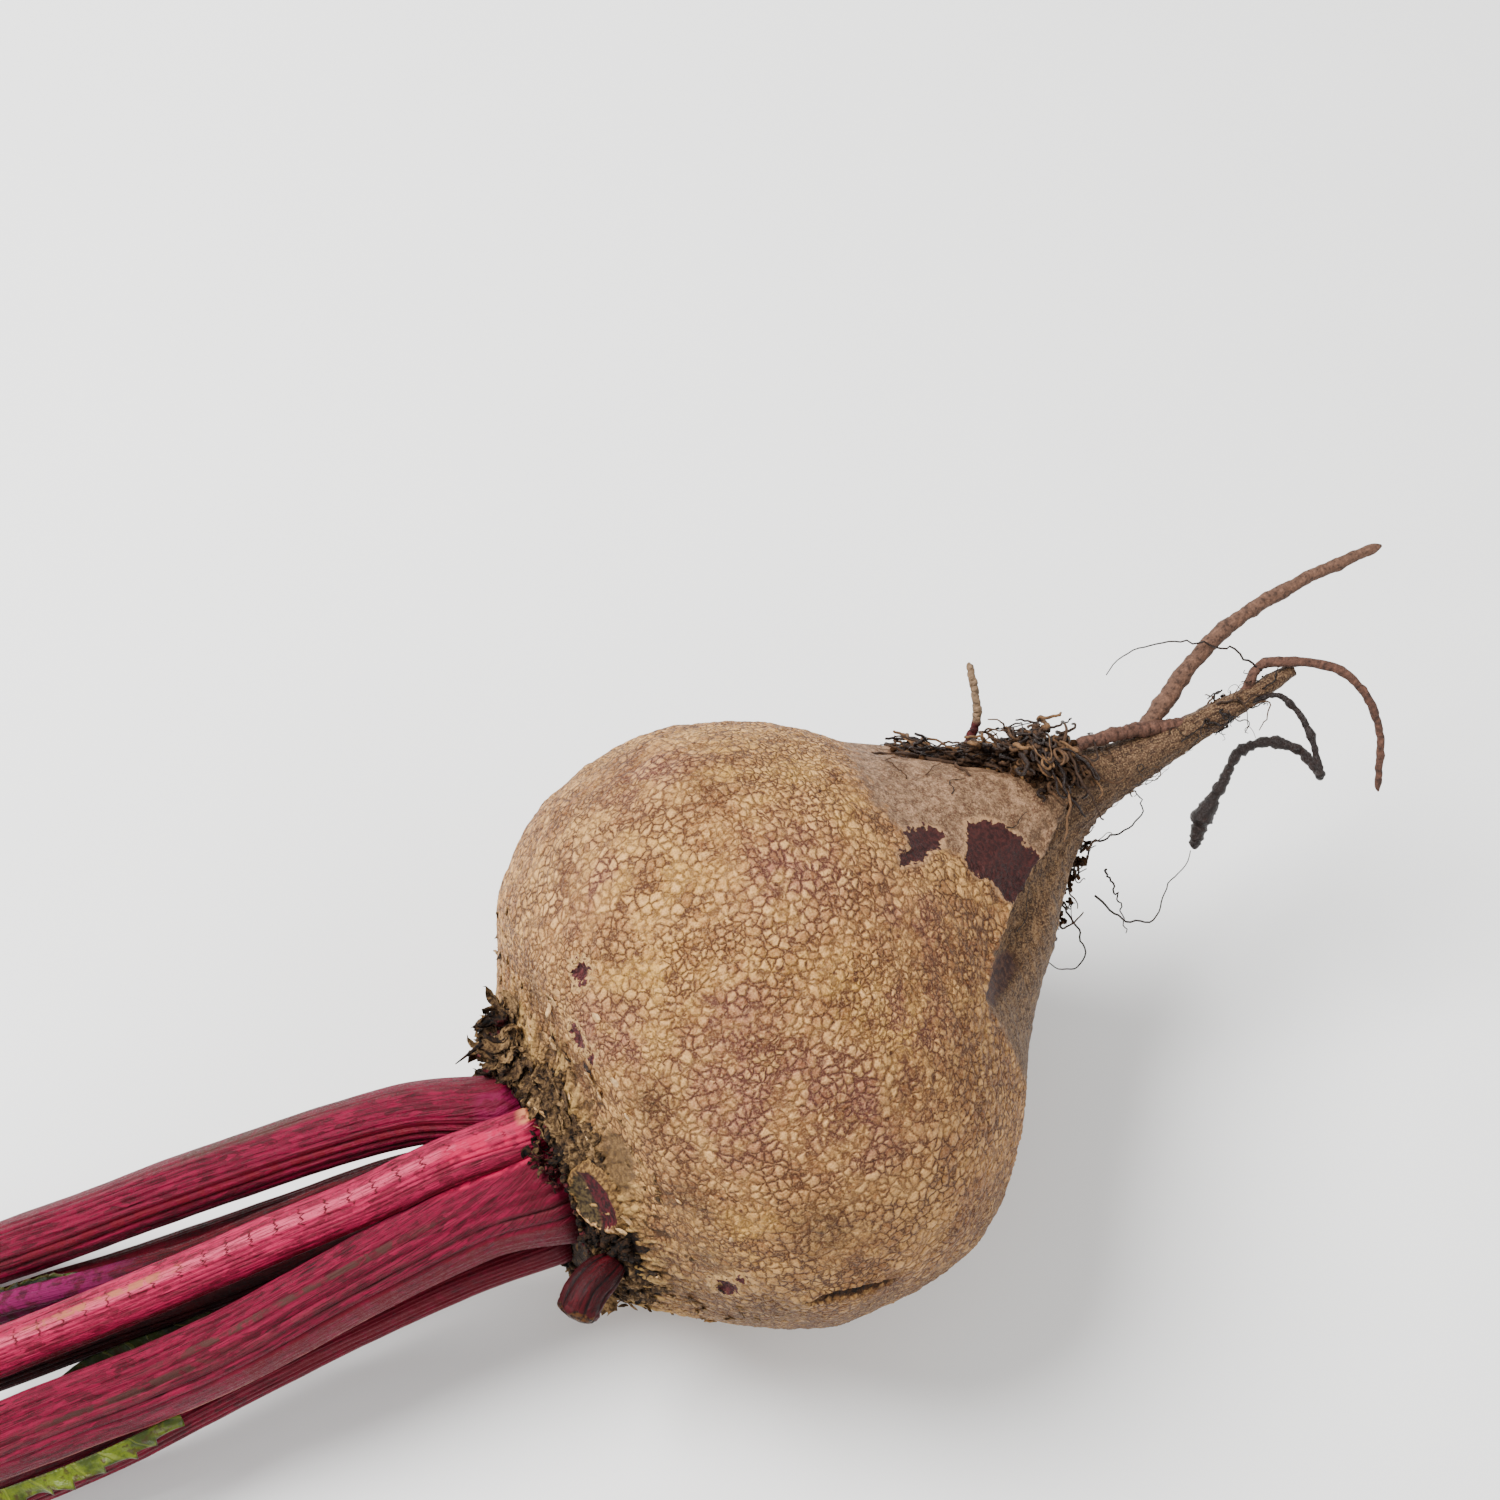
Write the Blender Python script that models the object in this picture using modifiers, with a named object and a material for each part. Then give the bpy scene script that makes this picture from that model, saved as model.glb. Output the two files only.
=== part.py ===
"""A beetroot with its cut leaf stalks, lying on its side.

All sizes below are in millimetres and become metres when a mesh is made. The root's own axis runs
from the crown to the tail and rises a little towards the tail. A place on the root is given by its
distance t along that axis from the crown, its angle phi round the axis, and its lift off the skin.
The origin is the middle of the small flat spot that the root rests on, with +Z up.
"""
import math

import bmesh
import bpy
import numpy as np
from mathutils import Vector

MM = 0.001
CLOSE = 0.00001
GAP = 0.35

# Root
CROWN = np.array([-35.96, 0.0, 42.19])
TILT = math.radians(8.0)
ROLL = math.radians(18.4)
OUTLINE = [(-4.5, 15.5), (-3, 18.5), (0, 24), (3, 28), (6.8, 33), (11, 37.8), (16.8, 42.4), (22, 45.3),
           (28.3, 47.2), (36, 48.2), (43, 48), (48.5, 46.4), (53.4, 43.9), (59, 39.9), (64.9, 34.5),
           (70.4, 28), (75, 23.6), (79.5, 20), (84, 16.2), (88.4, 12.7), (94, 9.2), (101.9, 5.6),
           (109, 4.1), (117, 2.9), (126, 2.1), (134, 1.6), (141, 1.0)]
BEND = [(-4.5, -0.8), (7, -1), (17, -0.8), (28, 0.2), (43, 0.7), (53, 1.3), (65, 3), (70, 3.7), (79, 4.9),
        (88, 5.1), (94, 5.3), (102, 4.6), (109, 3.5), (117, 2.7), (126, 2.1), (141, 1.6)]
CROWN_FACE = -4.5
CROWN_SLANT = (0.13, 0.26)
GROOVE = [(62, 62), (70, 66), (80, 64), (88, 60), (95, 45), (101, 20)]
GROOVE_DEPTH = 2.2
GROOVE_HALF = 3.2
ROOT_SIDES = 56
ON_LEVEL = 0.00004

# Places along the root of its rings of points, which hold every point, every second or every fourth
ROOT_RINGS = {
    1: [-4.5, -3, -1, 1.5, 4, 7, 10.5, *range(14, 59, 4), *range(61, 92, 3)],
    2: [94, 97, 100, 103, 106, 110],
    4: [114, 118, 122, 126, 130, 135, 141],
}

# Broad forms of the skin: distance t, angle phi in degrees, height, half length, half width
LUMPS = [(13, -22, -1.1, 9, 9), (40, 40, 0.8, 22, 20), (30, -60, 0.7, 20, 16), (79, -62, 2.4, 11, 6),
         (80, -38, -1.3, 12, 3.2), (62, -10, -0.8, 9, 10), (58, 130, 1.2, 16, 16), (20, 100, 0.9, 10, 12)]

# Leaf stalks: where each leaves the crown across and outward, its width and depth there and at its cut
# end, how full its inner side is, and the route of its middle after that
STALKS = {
    "petiole_1": ((10.3, 2.2), (9.8, 8.9), (10.6, 9.4), 1.05,
                  [(-52.1, 17.3, 43.7), (-63.9, 22.6, 39.3), (-78.8, 28.4, 33.0), (-92.1, 33.5, 26.8),
                   (-105.8, 38.8, 19.6), (-117.4, 43.7, 13.0), (-134.1, 50.4, 4.0)]),
    "petiole_2": ((4.8, 9.9), (7.8, 7.6), (7.8, 7.6), 0.72,
                  [(-50.5, 4.9, 50.6), (-66.8, 8.3, 45.8), (-78.5, 11.2, 42.3), (-91.8, 14.4, 38.1),
                   (-105.1, 18.0, 33.4), (-122.8, 23.2, 26.5), (-140.3, 28.6, 19.2)]),
    "petiole_3": ((-5.0, 6.5), (14.0, 9.4), (13.0, 9.2), 0.72,
                  [(-52.3, -2.8, 43.5), (-64.1, -0.8, 41.0), (-77.9, 0.7, 38.5), (-91.8, 2.2, 35.4),
                   (-105.2, 4.7, 32.0), (-118.0, 8.3, 28.3), (-128.9, 11.3, 24.9), (-144.2, 15.7, 19.8)]),
    "petiole_4": ((-9.8, -5.0), (9.4, 9.0), (10.0, 9.6), 0.72,
                  [(-59.3, -3.4, 29.4), (-73.0, -1.0, 26.4), (-86.8, 1.2, 23.0), (-102.4, 3.6, 18.8),
                   (-115.3, 5.5, 15.0), (-129.1, 8.9, 10.3), (-146.3, 13.4, 4.1)]),
    "petiole_5": ((2.1, -10.4), (8.8, 8.0), (8.4, 7.4), 0.72,
                  [(-58.9, 14.3, 27.6), (-77.5, 20.2, 22.6), (-91.0, 24.7, 18.0), (-104.5, 29.5, 13.2),
                   (-117.8, 34.6, 8.5), (-133.3, 39.6, 3.5)]),
    "petiole_6": ((3.0, -1.8), (5.0, 4.6), (6.0, 5.4), 0.72,
                  [(-60.1, 12.7, 36.8), (-78.2, 17.2, 32.6), (-91.2, 20.4, 28.6), (-104.1, 25.2, 24.2),
                   (-121.0, 32.4, 18.0), (-131.5, 36.2, 14.6)]),
    "petiole_7": ((-2.4, 0.2), (5.0, 4.6), (6.2, 5.6), 0.72,
                  [(-51.0, 3.6, 37.6), (-65.1, 7.4, 33.0), (-80.7, 11.4, 28.4), (-94.2, 15.2, 24.0),
                   (-107.7, 19.6, 19.4), (-121.2, 23.7, 14.8), (-133.5, 27.5, 10.6)]),
}
STALK_SIDES = 20
STALK_RINGS = 14
RIB = 0.035

# The stalk that broke off: its angle round the root, half width and half depth, and swelling along it
STUB_ANGLE = math.radians(-54)
STUB_RADII = (3.6, 3.0)
STUB_SWELLS = (1.0, 1.08, 1.05, 0.98, 0.94, 0.8)
STUB_SIDES = 16

# The collar: its gap to the skin, its front edge, its thickness from there to its back, and its thin part
COLLAR_GAP = 0.75
COLLAR_FRONT = -4.2
COLLAR_SIDES = 28
COLLAR_THICK = np.array([1.2, 1.7, 1.5, 0.9])
COLLAR_THIN = 0.8
COLLAR_SEED = 22
SCALE_COUNT = 38
SCALE_THICK = 0.85
SCALE_TAPERS = ((0.0, 1.0), (0.4, 1.05), (0.75, 0.75), (1.0, 0.3))
LOWER_SIDE = math.radians(-95)

# Leaf blades left on the stalks: route of the fixed edge, way out, width, wave height
BLADES = {
    "blade_1": ([(-105.3, -1.5, 27.6), (-115.2, 0.6, 25.3), (-124.7, 3.2, 22.8), (-134.4, 6.2, 20.1),
                 (-143.0, 8.8, 17.5)], (0.0, -0.86, -0.5), 4.2, 0.6),
    "blade_2": ([(-97.0, 12.7, 22.4), (-107.7, 15.8, 18.8), (-118.0, 19.0, 15.4)],
                (0.05, -0.8, -0.5), 4.4, 0.5),
    "blade_3": ([(-110.0, 32.6, 16.4), (-119.0, 36.6, 13.0), (-130.0, 40.8, 9.5)],
                (0.0, 0.05, 1.0), 3.2, 0.3),
}
BLADE_THICK = 0.8

# Soil: places along the groove, points over its width, and how far above the skin it starts
SOIL_STATIONS = np.arange(69, 97.1, 2.8)
SOIL_POINTS = 6
SOIL_LIFT = 0.9

# Fine roots: how many, their radius, and the seed of their draws
ROOTLET_POINTS = 6
TAIL_ROOTLETS = (10, 0.55)
END_ROOTLETS = (9, 0.45)
SOIL_ROOTLETS = (16, 0.5)
ROOT_SEED = 7
SOIL_SEED = 3

# Side roots: t, distance across, distance outward, and radius at each end
SIDE_ROOTS = {
    "whip": ([(110, 3.6, 0), (115.9, 7.0, 0.3), (120.1, 8.7, 0.6), (125, 10.7, 1.2), (132.1, 12.7, 1.8),
              (138.7, 13.4, 2), (147.7, 13.1, 1.8), (164.3, 10.9, 1.2)], 1.7, 0.9),
    "arch": ([(130.3, 1.9, 0), (136.1, 5.0, 1.6), (141.6, 1.9, 2.4), (145.8, -1.8, 2.2), (148.2, -7.9, 0.6),
              (148.2, -13.3, -2.4), (143.9, -22.7, -8.5)], 0.9, 0.6),
    "upright": ([(84.5, 12.0, -1), (87.1, 17.9, 0.3), (89.0, 19.9, 1.2), (91.8, 22.4, 3.2),
                 (93.8, 26.7, 4.8), (95.1, 30.5, 5.8)], 0.9, 0.6),
    "flat": ([(97.5, 7.6, 2.4), (102.6, 10.0, 5.2), (106.5, 9.0, 4.6), (111.4, 7.5, 3.4), (116.3, 5.3, 1.6),
              (121.4, 3.0, 0.2)], 0.9, 1.4),
    "withered": ([(128.5, 1.9, 0), (135.6, -0.9, 2.2), (136.6, -6.3, 2.4), (134.2, -15.1, 0.8),
                  (134.6, -10.8, -1.2), (131.7, -6.3, -3.0), (126.7, -4.8, -3.6), (122.3, -7.3, -4.6),
                  (118.9, -9.1, -6.0), (115.4, -11.4, -7.6), (112.7, -14.2, -9.0)], 0.6, 1.5),
}


def smooth(points, x):
    """Monotone cubic curve through the points."""
    xs, ys = np.array(points, float).T
    step = np.diff(xs)
    slope = np.diff(ys) / step
    tangent = np.zeros_like(ys)
    tangent[0], tangent[-1] = slope[0], slope[-1]
    for i in range(1, len(xs) - 1):
        if slope[i - 1] * slope[i] > 0:
            left = 2 * step[i] + step[i - 1]
            right = step[i] + 2 * step[i - 1]
            tangent[i] = (left + right) / (left / slope[i - 1] + right / slope[i])
    x = np.clip(np.asarray(x, float), xs[0], xs[-1])
    i = np.clip(np.searchsorted(xs, x) - 1, 0, len(xs) - 2)
    s = (x - xs[i]) / step[i]
    return ((1 + 2 * s) * (1 - s) ** 2 * ys[i] + s * (1 - s) ** 2 * step[i] * tangent[i]
            + s * s * (3 - 2 * s) * ys[i + 1] + s * s * (s - 1) * step[i] * tangent[i + 1])


def ease(low, high, x):
    """0 below low, 1 above high, with a soft step between."""
    s = np.clip((np.asarray(x, float) - low) / (high - low), 0, 1)
    return s * s * (3 - 2 * s)


AXIS = np.array([math.cos(TILT), 0, math.sin(TILT)])
SIDE = np.array([0, 1.0, 0])
RISE = np.array([-math.sin(TILT), 0, math.cos(TILT)])
OUTWARD = math.cos(ROLL) * RISE - math.sin(ROLL) * SIDE
ACROSS = math.sin(ROLL) * RISE + math.cos(ROLL) * SIDE


def turn(phi, middle):
    """Signed angle from middle to phi."""
    return (phi - middle + math.pi) % (2 * math.pi) - math.pi


def root_radius(t, phi):
    """Distance of the skin from the root's middle line."""
    plain = smooth(OUTLINE, t)
    body = ease(-2, 12, t)
    r = plain * (1 + body * (0.016 * np.cos(2 * (phi - 0.6)) + 0.009 * np.cos(3 * phi + 1.1 + t / 24)
                             + 0.006 * np.cos(5 * phi - t / 13)))
    for along, angle, height, half_length, half_width in LUMPS:
        wide = turn(phi, math.radians(angle)) * plain / half_width
        r = r + height * np.exp(-((t - along) / half_length) ** 2 - wide ** 2)
    wide = turn(phi, np.radians(smooth(GROOVE, t))) * plain / GROOVE_HALF
    depth = GROOVE_DEPTH * ease(62, 78, t) * (1 - ease(95, 103, t))
    return r - depth * np.exp(-wide ** 2)


def skin(t, phi):
    """The place on the skin at t and phi."""
    r = root_radius(t, phi)
    across = smooth(BEND, t) + r * np.sin(phi)
    outward = r * np.cos(phi)
    return beside_root(t + crown_slant(t, across, outward), across, outward)


def on_root(t, phi, lift=0.0):
    """The place at t and phi, at a height off the skin."""
    t, phi, lift = np.broadcast_arrays(*(np.asarray(value, float) for value in (t, phi, lift)))
    along = skin(t + 0.4, phi) - skin(t - 0.4, phi)
    around = skin(t, phi + 0.02) - skin(t, phi - 0.02)
    off = np.cross(along, around)
    off /= np.linalg.norm(off, axis=-1, keepdims=True)
    return skin(t, phi) + lift[..., None] * off


def crown_slant(t, across, outward):
    """How far the slanting face of the crown moves a place along the axis."""
    return (1 - ease(CROWN_FACE, 14, t)) * (CROWN_SLANT[0] * across + CROWN_SLANT[1] * outward)


def beside_root(t, across, outward):
    """A place given by t and its distances across and outward from the root's straight axis."""
    t, across, outward = (np.asarray(value, float)[..., None] for value in (t, across, outward))
    return CROWN + t * AXIS + across * ACROSS + outward * OUTWARD


def through(route, count):
    """Evenly spaced points on a smooth curve through the route."""
    route = np.array(route, float)
    along = np.concatenate([[0], np.cumsum(np.linalg.norm(np.diff(route, axis=0), axis=1))])
    at = np.linspace(0, along[-1], count)
    return np.stack([smooth(list(zip(along, column)), at) for column in route.T], -1)


def material(name, colour, roughness):
    shade = bpy.data.materials.new(name)
    shade.use_nodes = True
    shader = shade.node_tree.nodes["Principled BSDF"]
    shader.inputs["Base Color"].default_value = (*colour, 1)
    shader.inputs["Roughness"].default_value = roughness
    shader.inputs["Metallic"].default_value = 0
    shade.diffuse_color = (*colour, 1)
    return shade


def add(name, mesh, place, shade=None):
    thing = bpy.data.objects.new(name, mesh)
    place.objects.link(thing)
    if shade:
        mesh.materials.clear()
        mesh.materials.append(shade)
    return thing


def settled(thing):
    """Puts an object's finished mesh in place of its mesh and modifiers."""
    graph = bpy.context.evaluated_depsgraph_get()
    mesh = bpy.data.meshes.new_from_object(thing.evaluated_get(graph))
    thing.modifiers.clear()
    thing.data = mesh
    return thing


def loft(name, rings, place, shade=None, closed=False):
    """A skin over rings of points. A ring may have half as many points as the one before it."""
    shell = bmesh.new()
    rows = [[shell.verts.new(Vector(p) * MM) for p in ring] for ring in rings]
    pairs = list(zip(rows, rows[1:] + rows[:1] if closed else rows[1:]))
    for low, high in pairs:
        count = len(high)
        for i in range(count):
            j = (i + 1) % count
            if len(low) == count:
                shell.faces.new((low[i], low[j], high[j], high[i]))
            else:
                a, b, c = low[2 * i], low[2 * i + 1], low[(2 * i + 2) % len(low)]
                shell.faces.new((a, b, high[i]))
                shell.faces.new((b, high[j], high[i]))
                shell.faces.new((b, c, high[j]))
    if not closed:
        shell.faces.new(rows[0][::-1])
        shell.faces.new(rows[-1])
    bmesh.ops.recalc_face_normals(shell, faces=shell.faces)
    mesh = bpy.data.meshes.new(name)
    shell.to_mesh(mesh)
    shell.free()
    return add(name, mesh, place, shade)


def tube(name, points, radii, place, rounding=0):
    """A closed tapering tube along the points."""
    curve = bpy.data.curves.new(name, "CURVE")
    curve.dimensions = "3D"
    curve.bevel_depth = MM
    curve.bevel_resolution = rounding
    curve.use_fill_caps = True
    spline = curve.splines.new("POLY")
    spline.points.add(len(points) - 1)
    for node, point, radius in zip(spline.points, points, radii):
        node.co = (*(Vector(point) * MM), 1)
        node.radius = radius
    thing = add(name, curve, place)
    graph = bpy.context.evaluated_depsgraph_get()
    mesh = bpy.data.meshes.new_from_object(thing.evaluated_get(graph))
    bpy.data.objects.remove(thing)
    shell = bmesh.new()
    shell.from_mesh(mesh)
    bmesh.ops.remove_doubles(shell, verts=shell.verts, dist=CLOSE)
    shell.to_mesh(mesh)
    shell.free()
    return add(name, mesh, place)


def sheet(name, grid, thickness, place, shade=None):
    """A thin plate over a grid of points, split into triangles before it is thickened."""
    shell = bmesh.new()
    rows = [[shell.verts.new(Vector(p) * MM) for p in row] for row in grid]
    for low, high in zip(rows, rows[1:]):
        for i in range(len(low) - 1):
            shell.faces.new((low[i], low[i + 1], high[i + 1]))
            shell.faces.new((low[i], high[i + 1], high[i]))
    mesh = bpy.data.meshes.new(name)
    shell.to_mesh(mesh)
    shell.free()
    plate = add(name, mesh, place, shade)
    thick = plate.modifiers.new("thickness", "SOLIDIFY")
    thick.thickness = thickness * MM
    thick.offset = 0
    return plate


def split_faces(thing):
    """Leaves only triangles, without the spare points along their sides."""
    shell = bmesh.new()
    shell.from_mesh(thing.data)
    bmesh.ops.dissolve_verts(shell, verts=[vert for vert in shell.verts if len(vert.link_edges) == 2])
    bmesh.ops.triangulate(shell, faces=shell.faces)
    shell.to_mesh(thing.data)
    shell.free()


def unite(thing, extras):
    """Joins every object of a collection to the thing, and removes them."""
    for piece in [thing, *extras.objects]:
        split_faces(piece)
    union = thing.modifiers.new("union", "BOOLEAN")
    union.operation = "UNION"
    union.operand_type = "COLLECTION"
    union.collection = extras
    union.solver = "MANIFOLD"
    settled(thing)
    for extra in list(extras.objects):
        bpy.data.objects.remove(extra)
    bpy.data.collections.remove(extras)
    split_faces(thing)
    return thing


def cut_level(thing):
    """Takes off what is below the surface that the object lies on, and closes the cut flat."""
    shell = bmesh.new()
    shell.from_mesh(thing.data)
    everything = shell.verts[:] + shell.edges[:] + shell.faces[:]
    bmesh.ops.bisect_plane(shell, geom=everything, dist=ON_LEVEL, plane_co=(0, 0, 0), plane_no=(0, 0, -1),
                           clear_outer=True)
    rim = [edge for edge in shell.edges if edge.is_boundary]
    if rim:
        bmesh.ops.edgeloop_fill(shell, edges=rim)
    bmesh.ops.recalc_face_normals(shell, faces=shell.faces)
    shell.to_mesh(thing.data)
    shell.free()
    return thing


def soften(thing, degrees=40):
    thing.data.shade_smooth()
    thing.data.set_sharp_from_angle(angle=math.radians(degrees))


def collection(name):
    place = bpy.data.collections.new(name)
    bpy.context.scene.collection.children.link(place)
    return place


def rootlet(name, start, heading, length, radius, bends, place):
    """A thin curly root from a place on or in the skin, as a path of t, phi and lift."""
    t, phi, lift = start
    way_t, way_phi, way_up = heading
    reach = max(float(root_radius(t, phi)), 6.0)
    points = []
    shares = np.linspace(0, 1, ROOTLET_POINTS)
    for s in shares:
        wave = bends * math.sin(2.6 * s * math.pi + t)
        sideways = (way_phi * length * s + wave) / reach
        points.append(on_root(t + way_t * length * s + wave * 0.5, phi + sideways, lift + way_up * length * s))
    return tube(name, points, radius * (1 - 0.45 * shares), place)


def make_root(place, shade):
    """The swollen root with its tail, drawn out into the taproot, and the side roots on it."""
    turns = np.arange(ROOT_SIDES) * 2 * math.pi / ROOT_SIDES
    rings = [on_root(t, turns[::step]) for step, places in ROOT_RINGS.items() for t in places]
    root = loft("root", rings, place, shade)
    cut_level(root)
    extras = collection("side roots")
    for name, (route, thick_start, thick_end) in SIDE_ROOTS.items():
        count = 3 * len(route) - 2
        points = through([beside_root(*p) for p in route], count)
        radii = np.linspace(thick_start, thick_end, count)
        tube(name, points, radii, extras, rounding=1)
    draw = np.random.default_rng(ROOT_SEED)
    count, radius = TAIL_ROOTLETS
    for i in range(count):
        start = (84 + 9 * draw.random(), math.radians(-95 + 50 * draw.random()), -1.6)
        heading = (draw.uniform(-0.3, 0.7), draw.uniform(-0.8, 0.5), draw.uniform(0.5, 0.9))
        rootlet(f"side {i}", start, heading, draw.uniform(7, 13), radius, draw.uniform(0.8, 1.8), extras)
    count, radius = END_ROOTLETS
    for i in range(count):
        start = (126 + 8 * draw.random(), draw.uniform(-math.pi, math.pi), -0.9)
        heading = (draw.uniform(-0.5, 0.6), draw.uniform(-0.9, 0.9), draw.uniform(0.4, 0.8))
        rootlet(f"end {i}", start, heading, draw.uniform(6, 10), radius, draw.uniform(0.8, 1.6), extras)
    unite(root, extras)
    soften(root)
    return root


def collar_edge(phi):
    """How far the collar reaches down the shoulder, short over the bare leaf scar."""
    ragged = 3.0 + 1.0 * np.sin(5 * phi + 0.7) + 0.8 * np.sin(11 * phi + 2.0) + 0.4 * np.sin(17 * phi)
    ragged = ragged - 1.4 * np.exp(-(turn(phi, math.radians(95)) / 0.5) ** 2)
    ragged = ragged - 1.2 * np.exp(-(turn(phi, math.radians(-95)) / 0.5) ** 2)
    bare = np.exp(-(turn(phi, math.radians(-18)) / 0.22) ** 2)
    return ragged * (1 - bare) + 0.2 * bare


def dry_scale(name, t, phi, backward, draw, place):
    """A ragged scale that stands off the collar. It lies back on the shoulder or leans to the stalks."""
    base = on_root(t, phi, COLLAR_GAP + 1.3)
    up = on_root(t, phi, COLLAR_GAP + 2.3) - base
    radial = math.cos(phi) * OUTWARD + math.sin(phi) * ACROSS
    round_way = np.cross(AXIS, radial)
    down = np.cross(round_way, up)
    down *= (1 if backward else -1) * np.sign(np.dot(down, AXIS))
    raised = draw.uniform(0.35, 0.6) if backward else draw.uniform(0.45, 1.1)
    length = draw.uniform(3.5, 6.5)
    width = draw.uniform(3, 5.5)
    skew = draw.uniform(-0.5, 0.5)
    curl = draw.uniform(0, 2.2)
    heading = down * math.cos(raised) + up * math.sin(raised)
    lift = up * math.cos(raised) - down * math.sin(raised)
    grid = []
    for share, taper in SCALE_TAPERS:
        half = width / 2 * taper
        middle = base + (heading + round_way * skew) * length * share + lift * curl * share ** 2
        jag = draw.uniform(-0.12, 0.12, 3) * length * share
        grid.append([middle + round_way * half * side + heading * jag[side + 1] - up * 0.15 * half * abs(side)
                     for side in (-1, 0, 1)])
    settled(sheet(name, grid, SCALE_THICK, place))


def make_collar(place, shade):
    """The ring of dead leaf bases round the crown, with ragged dry scales standing off it."""
    rings = []
    for i in range(COLLAR_SIDES):
        phi = 2 * math.pi * i / COLLAR_SIDES
        reach = float(collar_edge(phi)) - COLLAR_FRONT
        t = COLLAR_FRONT + np.array([0, 0.35, 0.7, 1]) * reach
        thin = math.exp(-(turn(phi, STUB_ANGLE) / 0.35) ** 2)
        thick = COLLAR_THICK + 0.3 * math.sin(3.1 * i)
        under = on_root(t, phi, COLLAR_GAP)
        over = on_root(t, phi, COLLAR_GAP + thick * (1 - thin) + COLLAR_THIN * thin)
        rings.append(np.concatenate([under, over[::-1]]))
    collar = loft("crown_scales", rings, place, shade, closed=True)
    extras = collection("scales")
    draw = np.random.default_rng(COLLAR_SEED)
    for i in range(SCALE_COUNT):
        phi = 2 * math.pi * (i + 0.7 * draw.random()) / SCALE_COUNT
        room = abs(turn(phi, STUB_ANGLE)) > 0.3 and abs(turn(phi, LOWER_SIDE)) > 0.45
        if room:
            low = COLLAR_FRONT + 0.8
            t = draw.uniform(low, max(float(collar_edge(phi)) - 0.9, low + 0.4))
            dry_scale(f"scale {i}", t, phi, draw.random() < 0.3, draw, extras)
    unite(collar, extras)
    soften(collar, 25)
    return collar


def stalk_rings(base, size, end_size, fill, route):
    """Rings of a ribbed leaf stalk, hollowed on the side that faces the other stalks."""
    slope = crown_slant(CROWN_FACE, *base)
    start = beside_root(CROWN_FACE - GAP + slope, *base)
    off_face = -AXIS + CROWN_SLANT[0] * ACROSS + CROWN_SLANT[1] * OUTWARD
    off_face = off_face / np.linalg.norm(off_face)
    path = through([start, *route], STALK_RINGS * 3)
    way = np.gradient(path, axis=0)
    way /= np.linalg.norm(way, axis=1)[:, None]
    picks = np.round(np.linspace(0, 1, STALK_RINGS) ** 1.15 * (len(path) - 1)).astype(int)
    inner = -(base[0] * ACROSS + base[1] * OUTWARD)
    inner = inner / np.linalg.norm(inner)
    theta = np.arange(STALK_SIDES) * 2 * math.pi / STALK_SIDES
    rings = []
    for pick in picks:
        share = pick / (len(path) - 1)
        along = off_face if pick == 0 else way[pick]
        face = inner - along * np.dot(inner, along)
        face = face / np.linalg.norm(face)
        wide = np.cross(along, face)
        width = size[0] + (end_size[0] - size[0]) * share
        depth = size[1] + (end_size[1] - size[1]) * share
        rib = 1 + RIB * np.cos(10 * theta)
        x = width / 2 * np.cos(theta) * rib
        y = depth / 2 * np.sin(theta) * rib
        hollow = np.where(np.sin(theta) > 0, fill - 0.3 * np.exp(-(np.cos(theta) / 0.4) ** 2), 1.0)
        y = y * hollow
        rings.append(path[pick] + x[:, None] * wide + y[:, None] * face)
    return rings


def make_stalks(place, shade):
    for name, form in STALKS.items():
        stalk = loft(name, stalk_rings(*form), place, shade)
        cut_level(stalk)
        soften(stalk, 50)


def make_blades(place, shade):
    """Strips of leaf blade with waved, toothed edges, along the stalks they grew on."""
    for name, (route, out, width, wave) in BLADES.items():
        count = 4 * len(route) - 1
        edge = through(route, count)
        out = np.array(out) / np.linalg.norm(out)
        way = np.gradient(edge, axis=0)
        way /= np.linalg.norm(way, axis=1)[:, None]
        grid = []
        for i, (point, along) in enumerate(zip(edge, way)):
            share = i / (count - 1)
            up = np.cross(along, out)
            reach = width * (0.25 + 0.75 * math.sin(math.pi * min(share * 0.8 + 0.06, 1)))
            reach *= 1 + 0.18 * math.cos(math.pi * i)
            ripple = wave * math.sin(1.9 * i)
            grid.append([point + out * reach * s + up * ripple * s ** 1.5 for s in (0.0, 0.5, 1.0)])
        plate = sheet(name, grid, BLADE_THICK, place, shade)
        soften(plate, 60)


def make_stub(place, shade):
    """A short leaf stalk that broke off close to the crown, on the collar."""
    foot = on_root(-1.8, STUB_ANGLE, COLLAR_GAP + COLLAR_THIN + GAP + 0.04)
    out = on_root(-1.8, STUB_ANGLE, 3.0) - on_root(-1.8, STUB_ANGLE, 2.0)
    end = foot + 0.9 * out - 7.8 * AXIS - 2.2 * ACROSS
    bend = foot + 1.7 * out - 2.2 * AXIS
    path = through([foot, bend, end], len(STUB_SWELLS))
    way = np.gradient(path, axis=0)
    theta = np.arange(STUB_SIDES) * 2 * math.pi / STUB_SIDES
    rings = []
    for i, (point, swell) in enumerate(zip(path, STUB_SWELLS)):
        along = out if i == 0 else way[i] / np.linalg.norm(way[i])
        wide = np.cross(along, RISE)
        wide /= np.linalg.norm(wide)
        face = np.cross(wide, along)
        rib = swell * (1 + 0.04 * np.cos(8 * theta))
        rings.append(point + np.outer(STUB_RADII[0] * rib * np.cos(theta), wide)
                     + np.outer(STUB_RADII[1] * rib * np.sin(theta), face))
    soften(loft("petiole_stub", rings, place, shade), 50)


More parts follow.
